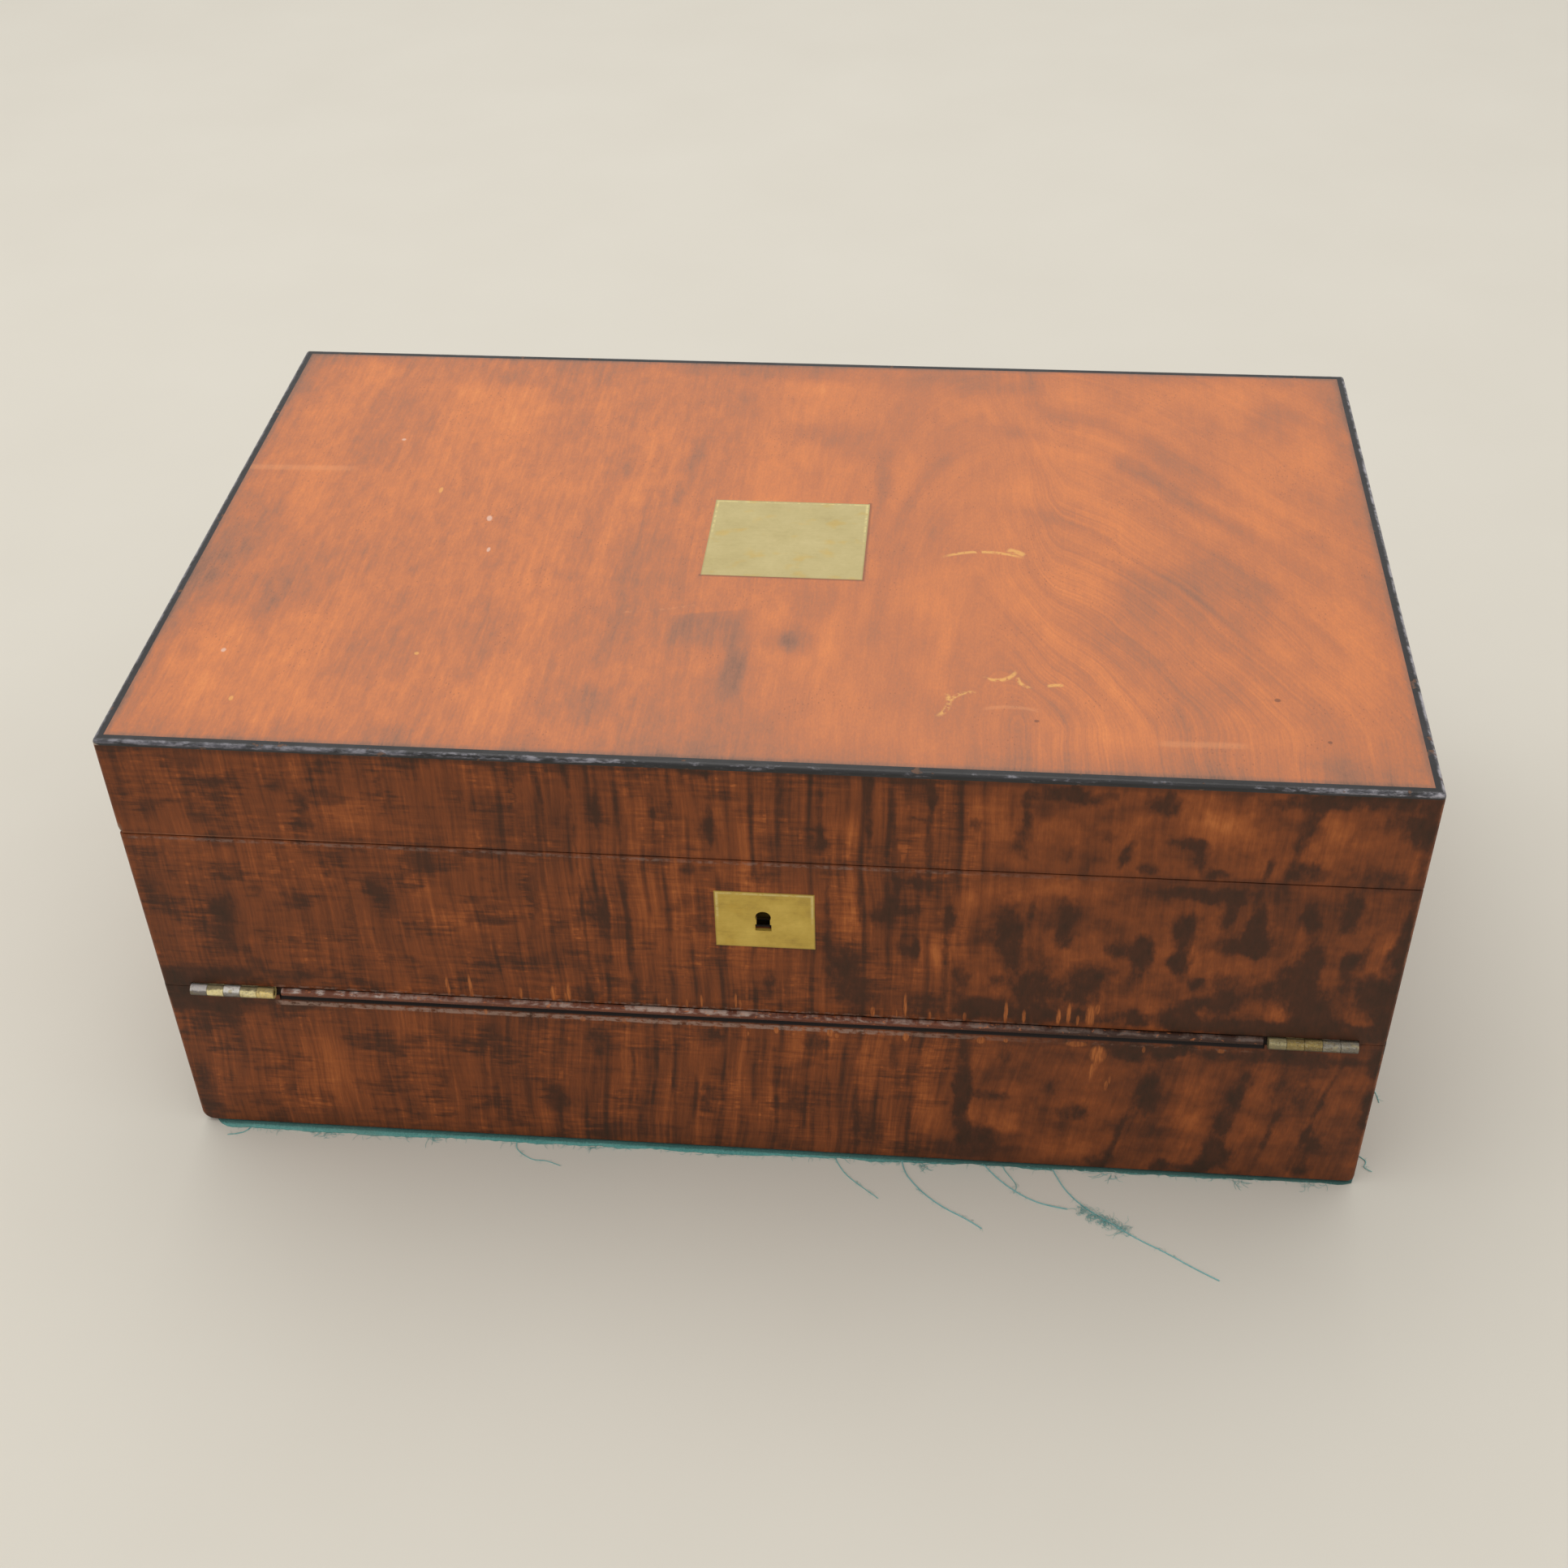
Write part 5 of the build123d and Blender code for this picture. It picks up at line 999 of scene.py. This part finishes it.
def laid_cloth(name, org, ux, uy, un, w0, w1, l0, l1, t, mat, seed, ripple=0.12, fray=0.35):
    """Thin felt pad. org + a*ux + b*uy is its back face, un points out of its shown face. mm in, metres out."""
    xs = steps(w0, w1, 3.0, 0.75, 3.0)
    ys = steps(l0, l1, 3.0, 0.75, 3.0)
    verts, faces = [], []
    nx, ny = len(xs), len(ys)

    def pt(i, j, top):
        a, b = xs[i], ys[j]
        ea, eb = min(a - w0, w1 - a), min(b - l0, l1 - b)
        e = min(ea, eb)
        # the cut edge wanders a little and is pressed down
        if i in (0, nx - 1):
            a += (fray * (wave(b * 0.11, seed, 1.0) * 0.6 + wave(b * 0.7, seed, 2.0) * 0.5) - fray * 0.5) * (1 if i == 0 else -1) * -1
        if j in (0, ny - 1):
            b += (fray * (wave(a * 0.11, seed, 3.0) * 0.6 + wave(a * 0.7, seed, 4.0) * 0.5) - fray * 0.5) * (1 if j == 0 else -1) * -1
        if top:
            fall = 1 - max(0.0, 1 - e / 0.8) ** 2 * 0.55
            h = (t - ripple * 0.5 + ripple * (wave(a * 0.03, b * 0.03, seed) * 0.7 + wave(a * 0.16, b * 0.16, seed + 5) * 0.35)) * fall
            h = min(h, t)
        else:
            h = 0.0
        p = org + ux * a + uy * b + un * h
        return p * 0.001

    for top in (True, False):
        for j in range(ny):
            for i in range(nx):
                verts.append(pt(i, j, top))
    base = nx * ny
    for j in range(ny - 1):
        for i in range(nx - 1):
            k = j * nx + i
            faces.append((k, k + 1, k + 1 + nx, k + nx))
            faces.append((base + k, base + k + nx, base + k + 1 + nx, base + k + 1))
    rim = [i for i in range(nx)] + [j * nx + nx - 1 for j in range(1, ny)] + [(ny - 1) * nx + i for i in range(nx - 2, -1, -1)] + [j * nx for j in range(ny - 2, 0, -1)]
    for a, b in zip(rim, rim[1:] + rim[:1]):
        faces.append((a, base + a, base + b, b))
    o = mesh_object(name, verts, faces, mat)
    bm = bmesh.new()
    bm.from_mesh(o.data)
    bmesh.ops.recalc_face_normals(bm, faces=bm.faces)
    bm.to_mesh(o.data)
    bm.free()
    return o


SL = math.radians(18.0)
SO = Vector((0, -126.0, 69.05))
SX, SU, SN = Vector((1, 0, 0)), Vector((0, math.cos(SL), math.sin(SL))), Vector((0, -math.sin(SL), math.cos(SL)))

upper = laid_cloth("upper_leaf_cloth", SO + SN * -0.82, SX, SU, SN, -177.9, 177.9, 24.1, 118.9, 0.66, M["leafcloth"], 3.0)
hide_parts("upper_leaf_baize")
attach(upper, "base")

lower = laid_cloth("lower_leaf_cloth", SO + SN * 0.82, SX, SU, -SN, -177.9, 177.9, 24.1, 110.9, 0.66, M["leafcloth_low"], 8.0)
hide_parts("lower_leaf_baize")
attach(lower, "flap")

lining = laid_cloth("lid_lining_cloth", Vector((0, 0, 168.2)), SX, Vector((0, 1, 0)), Vector((0, 0, -1)), -193.7, 193.7, -115.7, 115.7, 0.78, M["lining"], 12.0, 0.25, 0.1)
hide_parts("lid_lining")
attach(lining, "lid")


# the sole: cut a little larger than the box, its edge free and frayed
def sole_reach(side, s):
    """How far past the wood the cloth's edge lies, in mm, along one side."""
    n = wave(s * 0.021, side * 9.0, 1.0) * 1.3 + wave(s * 0.09, side * 9.0, 2.0) * 0.9 + wave(s * 0.45, side * 9.0, 3.0) * 0.45
    base = {0: 2.5, 1: 1.7, 2: 1.9, 3: 1.5}[side]     # front, right, back, left
    if side == 0:
        base += 0.9 * math.exp(-((s + 157) / 30) ** 2) - 0.8 * max(0.0, min(1.0, (s - 20) / 60)) - 0.8 * max(0.0, (s - 140) / 60)
        # it has shrunk back from the left corner, and a little from the right one
        base -= 7.5 * max(0.0, min(1.0, (-s - 192) / 6)) + 3.5 * max(0.0, min(1.0, (s - 196) / 5))
    if side == 3:
        base -= 7.5 * max(0.0, min(1.0, (-s - 108) / 7))
    if side == 1:
        base -= 3.0 * max(0.0, min(1.0, (-s - 116) / 6))
    return max(-5.5, base + n)


def sole():
    rings = [0.0, 0.45, 0.75, 0.92, 1.0]      # share of the way out from under the wood
    hx, hy = 196.6, 118.6
    path = []
    for side, (a0, a1) in enumerate(((-hx, hx), (-hy, hy), (hx, -hx), (hy, -hy))):
        n = int(abs(a1 - a0) / 0.8)
        for i in range(n):
            s = a0 + (a1 - a0) * i / n
            ends = min(abs(s - a0), abs(s - a1))
            if side == 0: p, d = Vector((s, -hy, 0)), Vector((0, -1, 0))
            elif side == 1: p, d = Vector((hx, s, 0)), Vector((1, 0, 0))
            elif side == 2: p, d = Vector((s, hy, 0)), Vector((0, 1, 0))
            else: p, d = Vector((-hx, s, 0)), Vector((-1, 0, 0))
            t = min(1.0, ends / 5.0)
            # round the corner
            nxt = [Vector((1, 0, 0)), Vector((0, 1, 0)), Vector((-1, 0, 0)), Vector((0, -1, 0))][side]
            sgn = -1 if abs(s - a0) < abs(s - a1) else 1
            d2 = (d + nxt * sgn * (1 - t) * 0.99).normalized()
            reach = 5.6 + sole_reach(side, s)
            path.append((p, d2, max(0.3, reach * (1.0 + 0.34 * (1 - t)))))
    N = len(path)
    verts, faces = [], []
    for top in (True, False):
        for k in rings:
            for i, (p, d, reach) in enumerate(path):
                q = p + d * reach * k
                if top:
                    z = 0.97 - 0.50 * max(0.0, k) ** 1.5
                    if k > 0:
                        z += 0.28 * wave(q.x * 0.08, q.y * 0.08, 4.0) + 0.14 * wave(q.x * 0.5, q.y * 0.5, 7.0)
                    z = max(0.26, min(z, 0.97))
                else:
                    z = 0.02
                verts.append(Vector((q.x, q.y, z)) * 0.001)
    L = len(rings)
    def idx(top, k, i): return (0 if top else L * N) + k * N + i % N
    for k in range(L - 1):
        for i in range(N):
            faces.append((idx(1, k, i), idx(1, k + 1, i), idx(1, k + 1, i + 1), idx(1, k, i + 1)))
            faces.append((idx(0, k, i), idx(0, k, i + 1), idx(0, k + 1, i + 1), idx(0, k + 1, i)))
    for i in range(N):
        faces.append((idx(1, L - 1, i), idx(0, L - 1, i), idx(0, L - 1, i + 1), idx(1, L - 1, i + 1)))
    # the middle, under the wood, steps in to a coarser ring and closes
    for top in (True, False):
        z = 0.97 if top else 0.02
        k = len(verts)
        inner = [Vector((sx * 190, sy * 112, z)) * 0.001 for sx, sy in ((-1, -1), (1, -1), (1, 1), (-1, 1))]
        verts.extend(inner)
        n_side = [int(2 * hx / 0.8), int(2 * hy / 0.8), int(2 * hx / 0.8), int(2 * hy / 0.8)]
        start = 0
        for side in range(4):
            a, b = k + side, k + (side + 1) % 4
            half = n_side[side] // 2
            for i in range(n_side[side]):
                o0, o1 = idx(top, 0, start + i), idx(top, 0, start + i + 1)
                c = a if i < half else b
                faces.append((c, o0, o1) if top else (c, o1, o0))
                if i == half:
                    faces.append((a, o0, b) if top else (a, b, o0))
            start += n_side[side]
        faces.append((k, k + 1, k + 2, k + 3) if top else (k + 3, k + 2, k + 1, k))
    o = mesh_object("sole_cloth", verts, faces, M["sole"])
    bm = bmesh.new()
    bm.from_mesh(o.data)
    bmesh.ops.recalc_face_normals(bm, faces=bm.faces)
    bm.to_mesh(o.data)
    bm.free()
    return o, path


sole_obj, sole_path = sole()


def tube(verts, faces, pts, r0, r1, sides=3):
    """Adds a thin tapering tube along pts (mm)."""
    base = len(verts)
    n = len(pts)
    for i, p in enumerate(pts):
        a = pts[max(0, i - 1)]
        b = pts[min(n - 1, i + 1)]
        t = (b - a).normalized()
        s = t.cross(Vector((0, 0, 1)))
        if s.length < 1e-4:
            s = Vector((1, 0, 0))
        s.normalize()
        w = t.cross(s)
        r = r0 + (r1 - r0) * i / (n - 1)
        for k in range(sides):
            ang = 2 * math.pi * k / sides + 0.5
            verts.append((p + (s * math.cos(ang) + w * math.sin(ang)) * r) * 0.001)
    for i in range(n - 1):
        for k in range(sides):
            a, b = base + i * sides + k, base + i * sides + (k + 1) % sides
            faces.append((a, b, b + sides, a + sides))
    faces.append(tuple(base + k for k in range(sides))[::-1])
    faces.append(tuple(base + (n - 1) * sides + k for k in range(sides)))


rng = random.Random(1871)


def hair(start, heading, length, r, curl, verts, faces, n=6, z_end=0.16):
    """One loose fibre lying on the ground, curling as it goes."""
    start = Vector((start.x, start.y, min(start.z, 0.52)))
    pts = [start.copy()]
    p, a = start.copy(), heading
    bend = rng.uniform(-curl, curl)
    for i in range(n):
        a += bend + rng.uniform(-curl, curl) * 0.7
        p = p + Vector((math.cos(a), math.sin(a), 0)) * (length / n)
        f = (i + 1) / n
        z = start.z * (1 - f) + z_end * f + abs(math.sin(f * 3.14)) * rng.uniform(0, 0.35)
        pts.append(Vector((p.x, p.y, max(r * 1.2, min(z, 0.52)))))    # low enough for the flap to come down on
    tube(verts, faces, pts, r, r * 0.55)


fv, ff = [], []
for i, (p, d, reach) in enumerate(sole_path):
    front = abs(d.y + 1) < 0.4
    if rng.random() > (0.62 if front else 0.30):
        continue
    q = p + d * (reach - rng.uniform(0.2, 0.9)) + Vector((rng.uniform(-.4, .4), rng.uniform(-.2, .2), rng.uniform(0.15, 0.5)))
    heading = math.atan2(d.y, d.x) + rng.gauss(0, 0.55)
    ln = rng.choice((0.9, 1.3, 1.8, 2.4, 3.4)) * rng.uniform(0.7, 1.2)
    hair(q, heading, ln, rng.uniform(0.05, 0.10), 0.45, fv, ff, 5)
# tufts that have pulled out further, in front
for tx, ty, n, sp in ((55.0, -127.4, 12, 1.6), (-157.0, -128.0, 14, 2.4), (-60.0, -127.2, 10, 2.0), (120.0, -127.0, 10, 2.0),
                      (164.0, -126.4, 9, 1.8), (-120.0, -127.4, 10, 2.0), (-15.0, -127.2, 8, 1.6), (190.0, -126.0, 8, 1.6)):
    for k in range(n):
        q = Vector((tx + rng.gauss(0, sp), ty + rng.uniform(-0.4, 0.8), rng.uniform(0.2, 0.5)))
        hair(q, -math.pi / 2 + rng.gauss(0, 0.8), rng.uniform(2.0, 5.0), rng.uniform(0.06, 0.10), 0.6, fv, ff, 7)
# short threads that have come away but are too short to count as cords
SHORT = [
    [(24.6, -126.0), (25.7, -128.6), (28.4, -132.8), (32.1, -136.3), (35.6, -139.1), (38.1, -141.1), (40.5, -142.9)],
    [(-88.6, -126.6), (-87.6, -130.4), (-82.0, -134.2), (-77.0, -134.6), (-71.5, -136.4)],
    [(203.4, -109.6), (206.2, -112.0), (208.6, -114.6), (207.8, -117.2), (210.2, -119.0)],
    [(204.4, -76.0), (208.6, -77.4), (213.4, -78.5), (216.0, -82.0), (216.8, -87.0)],
    [(-184.6, -126.0), (-187.6, -129.4), (-192.8, -130.8)],
    [(83.2, -126.0), (84.0, -128.0), (87.6, -133.6), (86.8, -137.4)],
]


def smooth_line(pts, n, z):
    out = []
    for i in range(len(pts) - 1):
        p0, p1 = pts[max(0, i - 1)], pts[i]
        p2, p3 = pts[i + 1], pts[min(len(pts) - 1, i + 2)]
        for k in range(n):
            t = k / n
            q = [0.5 * ((2 * p1[c]) + (-p0[c] + p2[c]) * t + (2 * p0[c] - 5 * p1[c] + 4 * p2[c] - p3[c]) * t * t + (-p0[c] + 3 * p1[c] - 3 * p2[c] + p3[c]) * t ** 3) for c in (0, 1)]
            out.append(Vector((q[0], q[1], z)))
    out.append(Vector((pts[-1][0], pts[-1][1], z)))
    return out


for line in SHORT:
    pts = smooth_line(line, 8, 0.24)
    tube(fv, ff, pts, 0.18, 0.13, 6)
    for k in range(len(pts) // 2):
        q = rng.choice(pts).copy()
        q.z = rng.uniform(0.2, 0.4)
        hair(q, rng.uniform(0, 6.28), rng.uniform(0.8, 2.2), 0.045, 0.7, fv, ff, 4)
# fibres caught on the long threads, with a clump on the right one
LONG = {
    "loose_thread_left": [(47.6, -124.6), (48.6, -130.2), (52.6, -136.0), (58.0, -141.6), (64.4, -146.2), (70.8, -149.4), (76.0, -153.2)],
    "loose_thread_middle": [(75.8, -124.6), (79.6, -129.6), (84.8, -134.6), (91.0, -139.0), (98.0, -141.9), (105.0, -142.8)],
    "loose_thread_right": [(99.8, -124.6), (101.8, -129.8), (105.4, -136.2), (111.4, -142.4), (119.4, -147.6), (128.0, -153.8), (137.6, -158.8), (146.6, -164.8), (154.4, -169.0)],
}
for name, line in LONG.items():
    pts = smooth_line(line, 8, 0.24)
    for k in range(int(len(pts) * 0.9)):
        q = rng.choice(pts).copy()
        if q.y < -166:
            continue
        q.z = rng.uniform(0.25, 0.5)
        hair(q, rng.uniform(0, 6.28), rng.uniform(0.7, 2.0), 0.04, 0.8, fv, ff, 4)
for k in range(150):
    t = rng.random()
    c = Vector((109.0 + 15.5 * t, -142.6 - 7.8 * t + rng.gauss(0, 0.9), 0.3))
    q = c + Vector((rng.gauss(0, 0.8), rng.gauss(0, 0.8), rng.uniform(-0.1, 0.5)))
    hair(q, rng.uniform(0, 6.28), rng.uniform(1.4, 5.0), rng.uniform(0.05, 0.09), 0.9, fv, ff, 7, 0.4)
fringe = mesh_object("sole_fringe", fv, ff, M["fuzz"])
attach(fringe, "base")
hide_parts("base_baize")
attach(sole_obj, "base")

# ---------------------------------------------------------------------------
# The three loose threads, pulled from the sole's front edge
# ---------------------------------------------------------------------------
for name, line in LONG.items():
    cu = bpy.data.curves.new(name + "_yarn", "CURVE")
    cu.dimensions = "3D"
    cu.bevel_depth = 0.00022
    cu.bevel_resolution = 2
    cu.resolution_u = 12
    cu.use_fill_caps = True
    sp = cu.splines.new("NURBS")
    sp.points.add(len(line) - 1)
    for p, (x, y) in zip(sp.points, line):
        p.co = (x * 0.001, y * 0.001, 0.00024, 1.0)
    sp.order_u = 3
    sp.use_endpoint_u = True
    cu.materials.append(M["yarn"])
    o = bpy.data.objects.new(name + "_yarn", cu)
    scene.collection.objects.link(o)
    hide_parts(name)
    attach(o, "base")

# ---------------------------------------------------------------------------
# Floor and light
# ---------------------------------------------------------------------------
g = Net("floor")
x, y, z = g.place()
n = g.noise(g.vec(x * 0.01, y * 0.01, 0.0), 1, 3, 0.5)
col = g.mix(n * 0.5, lin(214, 210, 200), lin(204, 199, 188))
g.finish(col, 0.9, None, None, Specular_IOR_Level=0.1)
floor = mesh_object("floor", [(-6, -6, 0), (6, -6, 0), (6, 6, 0), (-6, 6, 0)], [(0, 1, 2, 3)], g.mat, False)

world = bpy.data.worlds.new("world")
world.use_nodes = True
world.node_tree.nodes["Background"].inputs[0].default_value = (1.0, 0.99, 0.965, 1)
world.node_tree.nodes["Background"].inputs[1].default_value = 0.72
scene.world = world


def lamp(name, loc, aim, size, power, color=(1, 1, 1), size_y=None):
    d = bpy.data.lights.new(name, "AREA")
    d.shape = "RECTANGLE"
    d.size = size
    d.size_y = size_y or size
    d.energy = power
    d.color = color
    o = bpy.data.objects.new(name, d)
    scene.collection.objects.link(o)
    o.location = loc
    o.rotation_euler = (Vector(aim) - Vector(loc)).to_track_quat("-Z", "Y").to_euler()
    return o


lamp("key", (-0.35, 0.35, 2.1), (0, 0, 0.1), 2.4, 24, (1.0, 0.975, 0.94), 2.0)
lamp("fill", (0.6, -1.5, 1.5), (0, 0, 0.1), 1.6, 3.0, (1.0, 0.98, 0.95))
